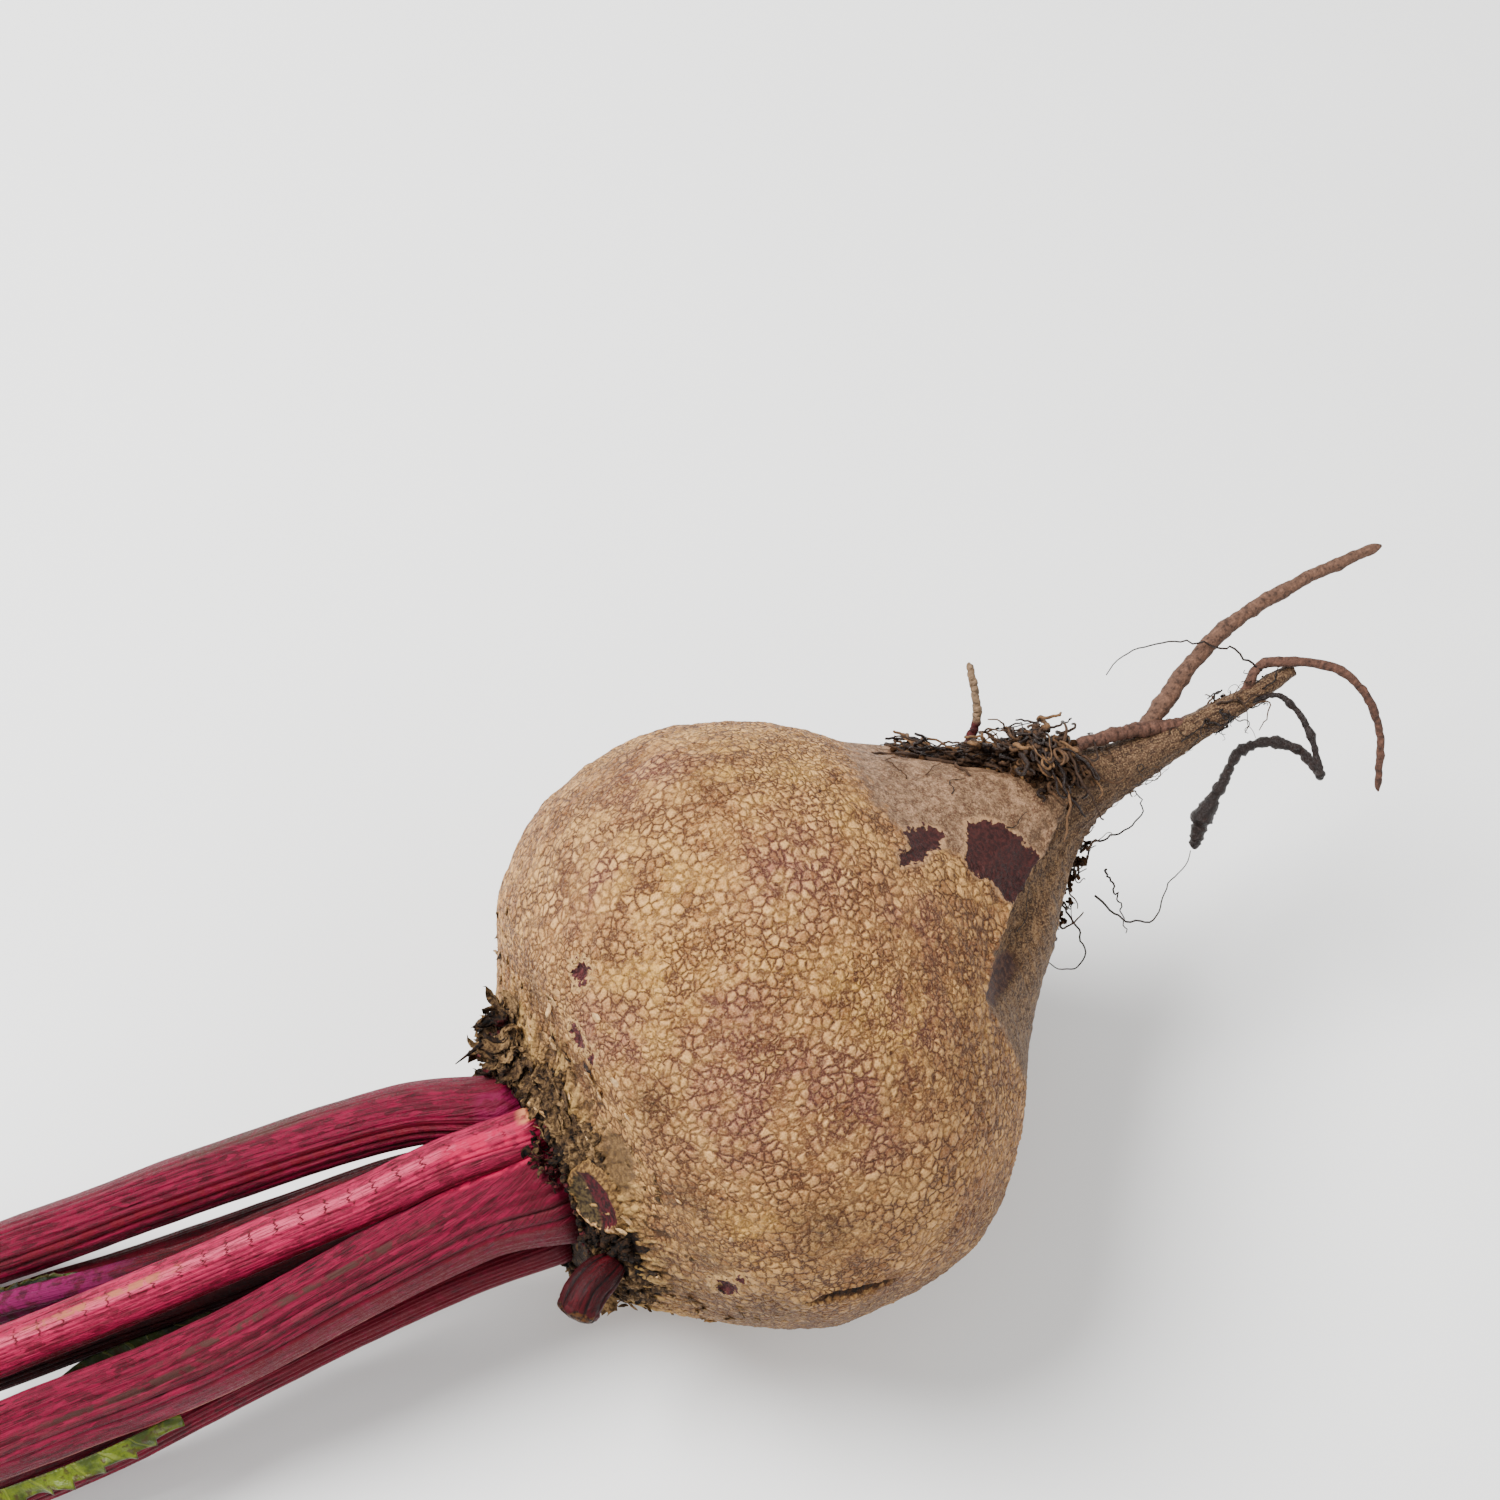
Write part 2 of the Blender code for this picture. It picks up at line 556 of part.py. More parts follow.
def make_soil(place, shade):
    """Soil caked in the root's groove, with the fine roots that hold it."""
    rings = []
    for k, t in enumerate(SOIL_STATIONS):
        share = k / (len(SOIL_STATIONS) - 1)
        middle = math.radians(float(smooth(GROOVE, t)))
        half = (2.0 + 2.6 * math.sin(math.pi * min(0.15 + share, 1.0) ** 1.3)) / float(smooth(OUTLINE, t))
        spread = np.linspace(-1, 1, SOIL_POINTS)
        phis = middle + half * spread
        lumps = 1.1 + (0.8 + 1.9 * share) * (1 - spread ** 2) * (1 + 0.45 * math.sin(2.3 * k + 1))
        lumps = lumps + 0.35 * np.sin(3.7 * k + 2.9 * np.arange(SOIL_POINTS))
        under = on_root(t, phis, SOIL_LIFT)
        up = on_root(t, middle, 1.0) - on_root(t, middle, 0.0)
        over = under + lumps[:, None] * up
        rings.append(np.concatenate([under, over[::-1]]))
    soil = loft("soil_rootlets", rings, place, shade)
    extras = collection("rootlets")
    draw = np.random.default_rng(SOIL_SEED)
    count, radius = SOIL_ROOTLETS
    for i in range(count):
        t = draw.uniform(76, 93)
        phi = math.radians(float(smooth(GROOVE, t))) + draw.uniform(-2.0, 2.0) / float(smooth(OUTLINE, t))
        heading = (draw.uniform(-0.2, 0.8), draw.uniform(-0.8, 0.6), draw.uniform(0.35, 0.9))
        rootlet(f"rootlet {i}", (t, phi, 1.6), heading, draw.uniform(5, 10), radius, draw.uniform(0.6, 1.6),
                extras)
    unite(soil, extras)
    soften(soil, 30)
    return soil


def main():
    for thing in list(bpy.data.objects):
        bpy.data.objects.remove(thing)
    skin = material("root_skin", (0.47, 0.30, 0.14), 0.75)
    scales = material("dry_scales", (0.30, 0.21, 0.12), 0.85)
    flesh = material("petiole_flesh", (0.27, 0.02, 0.07), 0.4)
    leaf = material("leaf_blade", (0.25, 0.33, 0.04), 0.5)
    earth = material("soil", (0.06, 0.035, 0.02), 0.95)
    place = collection("beetroot")
    make_root(place, skin)
    make_collar(place, scales)
    make_stalks(place, flesh)
    make_stub(place, flesh)
    make_blades(place, leaf)
    make_soil(place, earth)


main()
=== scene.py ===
"""A beetroot with its cut leaf stalks, lying on its side on a pale table.

Sizes below are in millimetres and become metres when a mesh is made. The root's own axis runs from the
crown to the tail. A place on the root is given by its distance t along that axis from the crown, its
angle phi round the axis, and its lift off the skin.
"""

import math

import bmesh
import bpy
import numpy as np
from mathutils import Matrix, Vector


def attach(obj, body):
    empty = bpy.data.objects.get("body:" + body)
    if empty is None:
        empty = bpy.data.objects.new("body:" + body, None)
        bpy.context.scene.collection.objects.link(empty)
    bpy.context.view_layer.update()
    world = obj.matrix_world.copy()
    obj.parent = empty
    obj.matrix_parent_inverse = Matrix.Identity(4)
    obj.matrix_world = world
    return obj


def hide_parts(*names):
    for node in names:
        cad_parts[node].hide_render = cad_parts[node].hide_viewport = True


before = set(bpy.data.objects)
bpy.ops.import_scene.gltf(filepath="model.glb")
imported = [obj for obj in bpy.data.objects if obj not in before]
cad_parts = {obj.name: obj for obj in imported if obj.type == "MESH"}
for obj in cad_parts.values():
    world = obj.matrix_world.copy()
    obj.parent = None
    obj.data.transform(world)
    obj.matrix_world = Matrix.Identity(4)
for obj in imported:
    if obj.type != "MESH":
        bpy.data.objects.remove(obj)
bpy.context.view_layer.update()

MM = 0.001
GAP = 0.35

# Root
CROWN = np.array([-35.96, 0.0, 42.19])
TILT = math.radians(8.0)
ROLL = math.radians(18.4)
OUTLINE = [(-4.5, 15.5), (-3, 18.5), (0, 24), (3, 28), (6.8, 33), (11, 37.8), (16.8, 42.4), (22, 45.3),
           (28.3, 47.2), (36, 48.2), (43, 48), (48.5, 46.4), (53.4, 43.9), (59, 39.9), (64.9, 34.5),
           (70.4, 28), (75, 23.6), (79.5, 20), (84, 16.2), (88.4, 12.7), (94, 9.2), (101.9, 5.6),
           (109, 4.1), (117, 2.9), (126, 2.1), (134, 1.6), (141, 1.0)]
BEND = [(-4.5, -0.8), (7, -1), (17, -0.8), (28, 0.2), (43, 0.7), (53, 1.3), (65, 3), (70, 3.7), (79, 4.9),
        (88, 5.1), (94, 5.3), (102, 4.6), (109, 3.5), (117, 2.7), (126, 2.1), (141, 1.6)]
CROWN_FACE = -4.5
ROOT_END = 141
CROWN_SLANT = (0.13, 0.26)
GROOVE = [(62, 62), (70, 66), (80, 64), (88, 60), (95, 45), (101, 20)]
GROOVE_DEPTH = 2.2
GROOVE_HALF = 3.2

# Broad forms of the skin: distance t, angle phi in degrees, height, half length, half width
LUMPS = [(13, -22, -1.1, 9, 9), (40, 40, 0.8, 22, 20), (30, -60, 0.7, 20, 16), (79, -62, 2.4, 11, 6),
         (80, -38, -1.3, 12, 3.2), (62, -10, -0.8, 9, 10), (58, 130, 1.2, 16, 16), (20, 100, 0.9, 10, 12)]

# Rings of the fine skin: up to which t, how many points round, and how far apart the rings are
SKIN_RINGS = [(76, 480, 0.63), (92, 240, 0.7), (108, 120, 0.8), (ROOT_END, 60, 0.8)]

# Marks on the skin: outlines as t and phi in degrees
MARKS = {
    "peel": [[(77.8, 11), (81.1, 9), (83, 2), (84.6, -9), (85.8, -28), (84, -32), (80.4, -29), (76.9, -28),
              (76, -18), (75.8, -12), (73.7, -6), (73.8, 1), (76.1, 4)],
             [(67.7, 17), (71.3, 17), (73.3, 13), (72, 8), (69.6, 9), (67.8, 7), (63.7, 9), (64.4, 12),
              (66.5, 12)]],
    "bruise": [[(64.1, -30), (69.4, -32), (73.5, -40), (73.8, -47), (70, -43), (65.9, -37)]],
    "slit": [[(18.2, -55.8), (22.4, -54.4), (26.7, -56.2), (31.8, -60.2), (28.4, -60.4), (24.5, -58.4),
              (21, -56.8)]],
    "smear": [[(3.3, 0), (5.2, -5), (5.4, -10), (3.9, -15), (1.0, -20), (-0.2, -15), (0.2, -6)]],
}
# Pits in the skin: t, phi in degrees, half size
PITS = [(9.8, -50, 1.9), (12.4, -46, 0.6), (16.4, 29.8, 1.6), (9.6, 22, 1.9), (10.4, 16, 0.9)]

# Where the smooth skin of the tail starts: phi in degrees and t
SMOOTH_START = [(-180, 73), (-90, 76), (-34, 80), (-28, 83), (-14, 79), (0, 75.5), (12, 70), (25, 66.5),
                (35, 67), (60, 70), (90, 72), (180, 73)]

# Soft tints of the skin and painted shade on it: t, phi in degrees, half size
TINTS = {
    "purple": [(27, -5, 9), (23, -11, 8), (39, -22, 10), (60, -2, 6), (49, 20, 9), (31, 120, 10),
               (50, -120, 12), (33, -14, 9), (17, 12, 5), (14, 20, 4), (30, 4, 6), (27, -8, 8), (52, -16, 6),
               (24, 40, 6),
               (40, 52, 7)],
    "brown": [(36, -21, 4), (47, -24, 5), (36, 58, 6), (44.5, 42, 5), (64, -20, 6), (33, -4, 4),
              (58, -40, 8), (45, -7, 4), (70, -20, 5), (40, 160, 12), (20, -130, 9), (55, 90, 9), (41, -17, 3),
              (52, -20, 4), (56, -12, 6), (57, -26, 6), (66, -30, 6), (63, -12, 6), (30, -66, 5), (46, -62, 6),
              (22, 47, 4)],
    "yellow": [(46.5, -4, 5), (49.4, -15, 5), (23, 18, 9), (33, 30, 9), (55, 42, 11), (17, -34, 7),
               (12, 140, 9), (61, 28, 6), (40, 8, 5)],
    # Grey: smudges, and from phi -46 down painted shade on the lower side of the bulb
    "grey": [(15, 0, 4), (9, -21, 3), (12, -21.5, 3.2), (13, -25, 3), (9, -40, 6), (4, 20, 5), (26, -38, 6),
             (40, -100, 9), (3, 30, 5), (6, 45, 5), (20, -72, 11), (36, -78, 11), (50, -76, 9), (14, -62, 9),
             (6, -60, 11), (27, -70, 9), (3, -46, 6), (10, -72, 10), (15, -84, 10), (24, -82, 10)],
    # Dark: painted shade, most of it at the crown's rim round the stub's foot and under the upper debris
    "dark": [(-4.2, -40, 2.6), (-4.2, -48, 2.6), (-2, -44, 1.8), (-0.5, -41, 1.5), (-2, -66, 1.6),
             (0, -74, 1.4), (-2, 62, 2.4), (-1, 80, 3), (0, 98, 2.4), (6.7, 16, 1.4)],
}


# Leaf stalks: where each leaves the crown across and outward, its width and depth there and at its cut
# end, how full its inner side is, how far its base flares, and the route of its middle after that
STALKS = {
    "petiole_1": ((10.3, 2.2), (10.0, 9.4), (10.6, 9.6), 1.2, 0.1,
                  [(-52.1, 17.3, 43.7), (-63.9, 22.6, 39.3), (-78.8, 28.4, 33.0), (-92.1, 33.5, 26.8),
                   (-105.8, 38.8, 19.6), (-117.4, 43.7, 13.0), (-134.1, 50.4, 4.0)]),
    "petiole_2": ((4.8, 9.6), (7.8, 7.6), (7.8, 7.6), 0.72, 0.1,
                  [(-50.5, 4.9, 50.6), (-66.8, 8.3, 45.8), (-78.5, 11.2, 42.3), (-91.8, 14.4, 38.1),
                   (-105.1, 18.0, 33.4), (-122.8, 23.2, 26.5), (-140.3, 28.6, 19.2)]),
    "petiole_3": ((-4.8, 6.8), (14.6, 9.6), (13.2, 9.2), 0.72, 0.26,
                  [(-52.3, -2.6, 43.5), (-64.1, -0.7, 41.0), (-77.9, 0.8, 38.5), (-91.8, 2.3, 35.4),
                   (-105.2, 4.8, 32.0), (-118.0, 8.4, 28.3), (-128.9, 11.4, 24.9), (-144.2, 15.8, 19.8)]),
    "petiole_4": ((-9.8, -5.0), (9.4, 9.0), (10.0, 9.6), 0.72, 0.1,
                  [(-59.3, -3.4, 29.4), (-73.0, -1.0, 26.4), (-86.8, 1.2, 23.0), (-102.4, 3.6, 18.8),
                   (-115.3, 5.5, 15.0), (-129.1, 8.9, 10.3), (-146.3, 13.4, 4.1)]),
    "petiole_5": ((2.1, -10.4), (8.8, 8.0), (8.4, 7.4), 0.72, 0.1,
                  [(-58.9, 14.3, 27.6), (-77.5, 20.2, 22.6), (-91.0, 24.7, 18.0), (-104.5, 29.5, 13.2),
                   (-117.8, 34.6, 8.5), (-133.3, 39.6, 3.5)]),
    "petiole_6": ((3.0, -1.8), (5.0, 4.6), (6.0, 5.4), 0.72, 0.1,
                  [(-60.1, 12.7, 36.8), (-78.2, 17.2, 32.6), (-91.2, 20.4, 28.6), (-104.1, 25.2, 24.2),
                   (-121.0, 32.4, 18.0), (-131.5, 36.2, 14.6)]),
    "petiole_7": ((-2.4, 0.2), (5.0, 4.6), (6.2, 5.6), 0.72, 0.1,
                  [(-51.0, 3.6, 37.6), (-65.1, 7.4, 33.0), (-80.7, 11.4, 28.4), (-94.2, 15.2, 24.0),
                   (-107.7, 19.6, 19.4), (-121.2, 23.7, 14.8), (-133.5, 27.5, 10.6)]),
}
# Points round each closed form, and its rings
STALK_SIDES = 156
STALK_RINGS = 100
STUB_SIDES = 72
STUB_RINGS = 40
COLLAR_SIDES = 840
COLLAR_RINGS = 44
SCAR_SIDES = 96
SCAR_RINGS = 40
SIDE_ROOT_SIDES = 16
HAIR_SIDES = 6
BLADE_ROWS = 150
BLADE_COLUMNS = 16
BLADE_THICKNESS = 0.4

# How many small bodies there are of each kind
TANGLE_HAIRS = 380
LOWER_HAIRS = 26
FORK_HAIRS = 30
FINE_HAIRS = 50
SLIVERS = 260
CHIPS = 200
CURLED_FLAKES = 64
CROWN_CRUMBS = 620
STUB_CRUMBS = 130
FIBRES = 70
SCRAP_FLAKES = 80
GROOVE_CRUMBS = 900
LOWER_CRUMBS = 60

# The tone of a dark red flake or crumb
RED_TONE = 1.7

STUB_ANGLE = math.radians(-54)

# Leaf blades left on the stalks: route of the fixed edge, way out, width, wave height
BLADES = {
    "blade_1": ([(-105.3, -0.2, 28.4), (-115.2, 1.3, 25.9), (-124.7, 3.5, 23.1), (-134.4, 6.3, 20.3),
                 (-143.0, 8.8, 17.6)], (0.0, -0.86, -0.5), 4.2, 0.6),
    "blade_2": ([(-94.0, 12.8, 24.8), (-102.0, 15.0, 22.4), (-110.0, 17.4, 19.6), (-117.0, 19.0, 16.9),
                 (-122.0, 18.8, 15.0)], (0.05, -0.8, -0.5), 4.4, 0.5),
    "blade_3": ([(-110.0, 32.6, 16.4), (-119.0, 36.6, 13.0), (-130.0, 40.8, 9.5)],
                (0.0, 0.05, 1.0), 3.2, 0.3),
}

# Side roots: t, distance across, distance outward, and radius at each end
SIDE_ROOTS = {
    "whip": ([(110, 3.6, 0), (115.9, 7.0, 0.3), (120.1, 8.7, 0.6), (125, 10.7, 1.2), (132.1, 12.7, 1.8),
              (138.7, 13.4, 2), (147.7, 13.1, 1.8), (164.3, 10.9, 1.2)], 1.7, 0.9),
    "arch": ([(130.3, 1.9, 0), (136.1, 5.0, 1.6), (141.6, 1.9, 2.4), (145.8, -1.8, 2.2), (148.2, -7.9, 0.6),
              (148.2, -13.3, -2.4), (143.9, -22.7, -8.5)], 0.9, 0.6),
    "upright": ([(84.5, 12.0, -1), (87.1, 17.9, 0.3), (89.0, 19.9, 1.2), (91.8, 22.4, 3.2),
                 (93.8, 26.7, 4.8), (95.1, 30.5, 5.8)], 0.9, 0.6),
    "flat": ([(97.5, 7.6, 2.4), (102.6, 10.0, 5.2), (106.5, 9.0, 4.6), (111.4, 7.5, 3.4), (116.3, 5.3, 1.6),
              (121.4, 3.0, 0.2)], 0.9, 1.4),
    "withered": ([(128.5, 1.9, 0), (135.6, -0.9, 2.2), (136.6, -6.3, 2.4), (134.2, -15.1, 0.8),
                  (134.6, -10.8, -1.2), (131.7, -6.3, -3.0), (126.7, -4.8, -3.6), (122.3, -7.3, -4.6),
                  (118.9, -9.1, -6.0), (115.4, -11.4, -7.6), (112.7, -14.2, -9.0)], 0.6, 1.5),
}

SIDE_ROOT_TONES = {"whip": 0.6, "arch": 0.4, "upright": 0.3, "flat": 0.42, "withered": 0.12}

# Curled shards at the crown: t, phi, length, width, curl, spin from the way down the skin, and tone
SHARDS = [(-0.9, 63, 5.2, 4.2, 1.6, 150, 0.5), (0.1, 87, 4.6, 3.2, 2.2, 120, 0.2),
          (-1.8, 48, 4.0, 2.8, 1.2, 170, 0.34), (-2.6, 72, 4.4, 3.0, 1.9, 165, 0.46),
          (-3.0, 57, 3.6, 2.6, 1.4, 140, 0.22), (0.6, 74, 4.0, 2.6, 1.0, 60, 0.4),
          (1.9, 56, 4.0, 3.4, 0.9, 80, 0.66), (9.1, 32, 2.4, 1.9, 0.7, 60, 1.0),
          (8.2, 36, 2.2, 1.6, 0.9, 200, 0.95), (11.8, 31, 1.8, 1.4, 0.6, 90, 1.0),
          (15, 19, 1.6, 1.1, 0.5, 100, 1.0), (11.4, 6.5, 2.6, 1.5, 0.5, 60, 0.98),
          (5.7, 13.5, 3.4, 1.7, 0.6, 10, 0.95), (5.1, 8.5, 3.4, 1.2, 0.4, 20, 0.9),
          (9.6, 0, 2.2, 1.3, 0.6, 40, 1.0), (3.0, 30, 2.8, 1.6, 0.5, 30, 0.9),
          (1.3, -31, 2.6, 1.4, 0.7, 100, 0.95), (2.8, -31, 2.4, 1.2, 0.8, 60, 1.0),
          (0.1, -36, 2.0, 1.2, 0.5, 130, 0.9), (9.2, -48, 2.0, 1.2, 0.8, 200, 0.95),
          (13.8, -34, 1.4, 1.0, 0.5, 30, 1.0), (-1.5, -64, 3.2, 2.6, 0.5, 90, 0.8),
          (-2.6, 30, 4.0, 1.6, 0.7, 200, 0.55), (-3.2, 78, 4.2, 3.0, 2.0, 190, 0.12)]

# Middle of the dark red scraps that lie on the stalks: t, distance across, distance outward
SCRAPS = np.array([-2.5, 0.0, 13.4])

# Long black spikes at the crown: t, distance across, distance outward, and radius at the start
SPIKES = [
    ([(4.6, 20.6, 8.0), (4.0, 23.0, 8.2), (2.6, 24.6, 8.0), (1.1, 24.2, 7.6)], 0.7),
    ([(-1.0, 18.0, 6.0), (-2.2, 20.8, 6.0), (-4.3, 20.6, 6.0), (-6.7, 20.4, 6.0)], 0.55),
    ([(4.0, -20.6, -12.0), (4.2, -23.0, -12.6), (4.8, -24.8, -13.0)], 0.6),
]

# Single hairs that stand clear of the tail: t, distance across, distance outward
HAIRS = [
    [(94.0, -11.4, -6), (95.7, -17.4, -7), (100.3, -20.3, -8), (104.8, -17.2, -9), (109.9, -15.6, -9),
     (112.2, -14.0, -9)],
    [(135.4, 4.0, 2), (133.6, 8.2, 3), (128.1, 13.8, 4), (121.8, 17.3, 4), (116.3, 18.1, 3),
     (113.4, 17.1, 2)],
    [(95.0, -2.6, -5), (99.7, -4.6, -6), (104.1, -5.5, -6), (108.2, -4.6, -6), (108.8, -2.2, -5),
     (106.3, 0.4, -3)],
    [(89.1, -9.2, -9), (89.3, -15.0, -10), (88.3, -18.2, -11), (85.4, -20.2, -11), (83.2, -18.4, -11),
     (81.8, -15.4, -10)],
    [(97.8, -8.9, -7), (97.8, -11.9, -8), (97.0, -15.2, -8), (95.4, -20.0, -9)],
]


# Shapes


def smooth(points, x):
    """Monotone cubic curve through the points."""
    xs, ys = np.array(points, float).T
    step = np.diff(xs)
    slope = np.diff(ys) / step
    tangent = np.zeros_like(ys)
    tangent[0], tangent[-1] = slope[0], slope[-1]
    for i in range(1, len(xs) - 1):
        if slope[i - 1] * slope[i] > 0:
            left = 2 * step[i] + step[i - 1]
            right = step[i] + 2 * step[i - 1]
            tangent[i] = (left + right) / (left / slope[i - 1] + right / slope[i])
    x = np.clip(np.asarray(x, float), xs[0], xs[-1])
    i = np.clip(np.searchsorted(xs, x) - 1, 0, len(xs) - 2)
    s = (x - xs[i]) / step[i]
    return ((1 + 2 * s) * (1 - s) ** 2 * ys[i] + s * (1 - s) ** 2 * step[i] * tangent[i]
            + s * s * (3 - 2 * s) * ys[i + 1] + s * s * (s - 1) * step[i] * tangent[i + 1])


def ease(low, high, x):
    """0 below low, 1 above high, with a soft step between."""
    s = np.clip((np.asarray(x, float) - low) / (high - low), 0, 1)
    return s * s * (3 - 2 * s)


AXIS = np.array([math.cos(TILT), 0, math.sin(TILT)])
SIDE = np.array([0, 1.0, 0])
RISE = np.array([-math.sin(TILT), 0, math.cos(TILT)])
OUTWARD = math.cos(ROLL) * RISE - math.sin(ROLL) * SIDE
ACROSS = math.sin(ROLL) * RISE + math.cos(ROLL) * SIDE


def turn(phi, middle):
    """Signed angle from middle to phi."""
    return (phi - middle + math.pi) % (2 * math.pi) - math.pi


def apart(phi, degrees):
    """How far phi is from an angle, either way."""
    return abs(turn(phi, math.radians(degrees)))


def spot(phi, degrees, half):
    """A soft spot round an angle, 1 in its middle."""
    return np.exp(-(turn(phi, math.radians(degrees)) / half) ** 2)


def root_radius(t, phi):
    """Distance of the skin from the root's middle line."""
    plain = smooth(OUTLINE, t)
    body = ease(-2, 12, t)
    r = plain * (1 + body * (0.016 * np.cos(2 * (phi - 0.6)) + 0.009 * np.cos(3 * phi + 1.1 + t / 24)
                             + 0.006 * np.cos(5 * phi - t / 13)))
    for along, angle, height, half_length, half_width in LUMPS:
        wide = turn(phi, math.radians(angle)) * plain / half_width
        r = r + height * np.exp(-((t - along) / half_length) ** 2 - wide ** 2)
    wide = turn(phi, np.radians(smooth(GROOVE, t))) * plain / GROOVE_HALF
    depth = GROOVE_DEPTH * ease(62, 78, t) * (1 - ease(95, 103, t))
    return r - depth * np.exp(-wide ** 2)


def crown_slant(t, across, outward):
    """How far the slanting face of the crown moves a place along the axis."""
    return (1 - ease(CROWN_FACE, 14, t)) * (CROWN_SLANT[0] * across + CROWN_SLANT[1] * outward)


def beside_root(t, across, outward):
    """A place given by t and its distances across and outward from the root's straight axis."""
    t, across, outward = (np.asarray(value, float)[..., None] for value in (t, across, outward))
    return CROWN + t * AXIS + across * ACROSS + outward * OUTWARD


def skin(t, phi):
    """The place on the skin at t and phi."""
    r = root_radius(t, phi)
    across = smooth(BEND, t) + r * np.sin(phi)
    outward = r * np.cos(phi)
    return beside_root(t + crown_slant(t, across, outward), across, outward)


def on_root(t, phi, lift=0.0):
    """The place at t and phi, at a height off the skin."""
    t, phi, lift = np.broadcast_arrays(*(np.asarray(value, float) for value in (t, phi, lift)))
    along = skin(t + 0.4, phi) - skin(t - 0.4, phi)
    around = skin(t, phi + 0.02) - skin(t, phi - 0.02)
    off = np.cross(along, around)
    off /= np.linalg.norm(off, axis=-1, keepdims=True)
    return skin(t, phi) + lift[..., None] * off


def through(route, count):
    """Evenly spaced points on a smooth curve through the route."""
    route = np.array(route, float)
    along = np.concatenate([[0], np.cumsum(np.linalg.norm(np.diff(route, axis=0), axis=1))])
    at = np.linspace(0, along[-1], count)
    return np.stack([smooth(list(zip(along, column)), at) for column in route.T], -1)


def unit(vector):
    return vector / np.linalg.norm(vector, axis=-1, keepdims=True)


def circle(sides):
    """Evenly spaced angles all the way round."""
    return np.arange(sides) * 2 * math.pi / sides


def wobble(x, seed):
    """A smooth irregular wave between about -1 and 1."""
    waves = np.sin(x + seed) + 0.7 * np.sin(2.17 * x + 2.3 * seed) + 0.5 * np.sin(4.31 * x + 4.1 * seed)
    return waves / 2.2


def lofted(rings):
    """Points and faces of a closed skin over the rings. A ring may have half as many points as the last."""
    points = np.concatenate(rings)
    starts = np.concatenate([[0], np.cumsum([len(ring) for ring in rings])])
    faces = []
    for k in range(len(rings) - 1):
        wide, count = len(rings[k]), len(rings[k + 1])
        i = np.arange(count)
        j = (i + 1) % count
        low, high = starts[k], starts[k + 1]
        if wide == count:
            faces += np.stack([low + i, low + j, high + j, high + i], -1).tolist()
        else:
            a, b, c = low + 2 * i, low + 2 * i + 1, low + (2 * i + 2) % wide
            faces += np.stack([a, b, high + i], -1).tolist()
            faces += np.stack([b, high + j, high + i], -1).tolist()
            faces += np.stack([b, c, high + j], -1).tolist()
    faces.append(list(range(len(rings[0])))[::-1])
    faces.append(list(range(starts[-2], starts[-1])))
    return points, faces


def tube(path, radii, sides):
    """Points and faces of a closed tube along a path."""
    path = np.asarray(path, float)
    way = unit(np.gradient(path, axis=0))
    beside = unit(np.cross(way[0], (0.3, 0.5, 0.8)))
    ways = circle(sides)
    rings = []
    for point, along, radius in zip(path, way, radii):
        beside = unit(beside - along * np.dot(beside, along))
        over = np.cross(along, beside)
        rings.append(point + np.outer(radius * np.cos(ways), beside) + np.outer(radius * np.sin(ways), over))
    return lofted(rings)


def plate(grid, thickness, up):
    """Points and faces of a thin closed plate over a grid of points, thinner at its rim."""
    rows, columns = grid.shape[:2]
    thick = np.full((rows, columns, 1), thickness)
    thick[[0, -1]] *= 0.4
    thick[:, [0, -1]] *= 0.4
    top = (grid + up * thick / 2).reshape(-1, 3)
    bottom = (grid - up * thick / 2).reshape(-1, 3)
    at = np.arange(rows * columns).reshape(rows, columns)
    over = np.stack([at[:-1, :-1], at[:-1, 1:], at[1:, 1:], at[1:, :-1]], -1).reshape(-1, 4)
    under = over[:, ::-1] + rows * columns
    rim = np.concatenate([at[0, :-1], at[:-1, -1], at[-1, :0:-1], at[:0:-1, 0]])
    after = np.roll(rim, -1)
    sides = np.stack([after, rim, rim + rows * columns, after + rows * columns], -1)
    return np.concatenate([top, bottom]), np.concatenate([over, under, sides]).tolist()


def joined(rows, sides):
    """The fields of all rings, each as one row of numbers."""
    return {name: np.concatenate([np.broadcast_to(row[name], sides) for row in rows]) for name in rows[0]}


class Pile:
    """Gathers small closed bodies, each with a tone for its colour, into one mesh."""

    def __init__(self):
        self.points = []
        self.faces = []
        self.tones = []
        self.count = 0

    def take(self, body, tone):
        points, faces = body
        self.points.append(points)
        self.faces += [[corner + self.count for corner in face] for face in faces]
        self.tones.append(np.broadcast_to(tone, len(points)))
        self.count += len(points)

    def piece(self, name, shade, slot, nodes=()):
        body = np.concatenate(self.points), self.faces
        return piece(name, body, shade, nodes, {"tone": np.concatenate(self.tones)})


def piece(name, body, shade, nodes=(), fields=None):
    """A shown piece of the beetroot that takes the place of the named plain solids."""
    points, faces = body
    mesh = bpy.data.meshes.new(name)
    mesh.from_pydata((np.asarray(points) * MM).tolist(), [], faces)
    for field, values in (fields or {}).items():
        values = np.asarray(values, np.float32)
        if values.ndim == 1:
            mesh.attributes.new(field, "FLOAT", "POINT").data.foreach_set("value", values)
        else:
            mesh.attributes.new(field, "FLOAT_VECTOR", "POINT").data.foreach_set("vector", values.ravel())
    shell = bmesh.new()
    shell.from_mesh(mesh)
    bmesh.ops.recalc_face_normals(shell, faces=shell.faces)
    shell.to_mesh(mesh)
    shell.free()
    mesh.shade_smooth()
    mesh.materials.append(shade)
    thing = bpy.data.objects.new(name, mesh)
    bpy.context.scene.collection.objects.link(thing)
    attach(thing, "root")
    if nodes:
        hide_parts(*nodes)
    return thing


# Shading


# How much the studio light and film mix the red, green and blue of a colour
FILM = np.array([[0.855, -0.069, 0.023], [0.037, 1.123, -0.127], [0.029, -0.209, 0.922]])


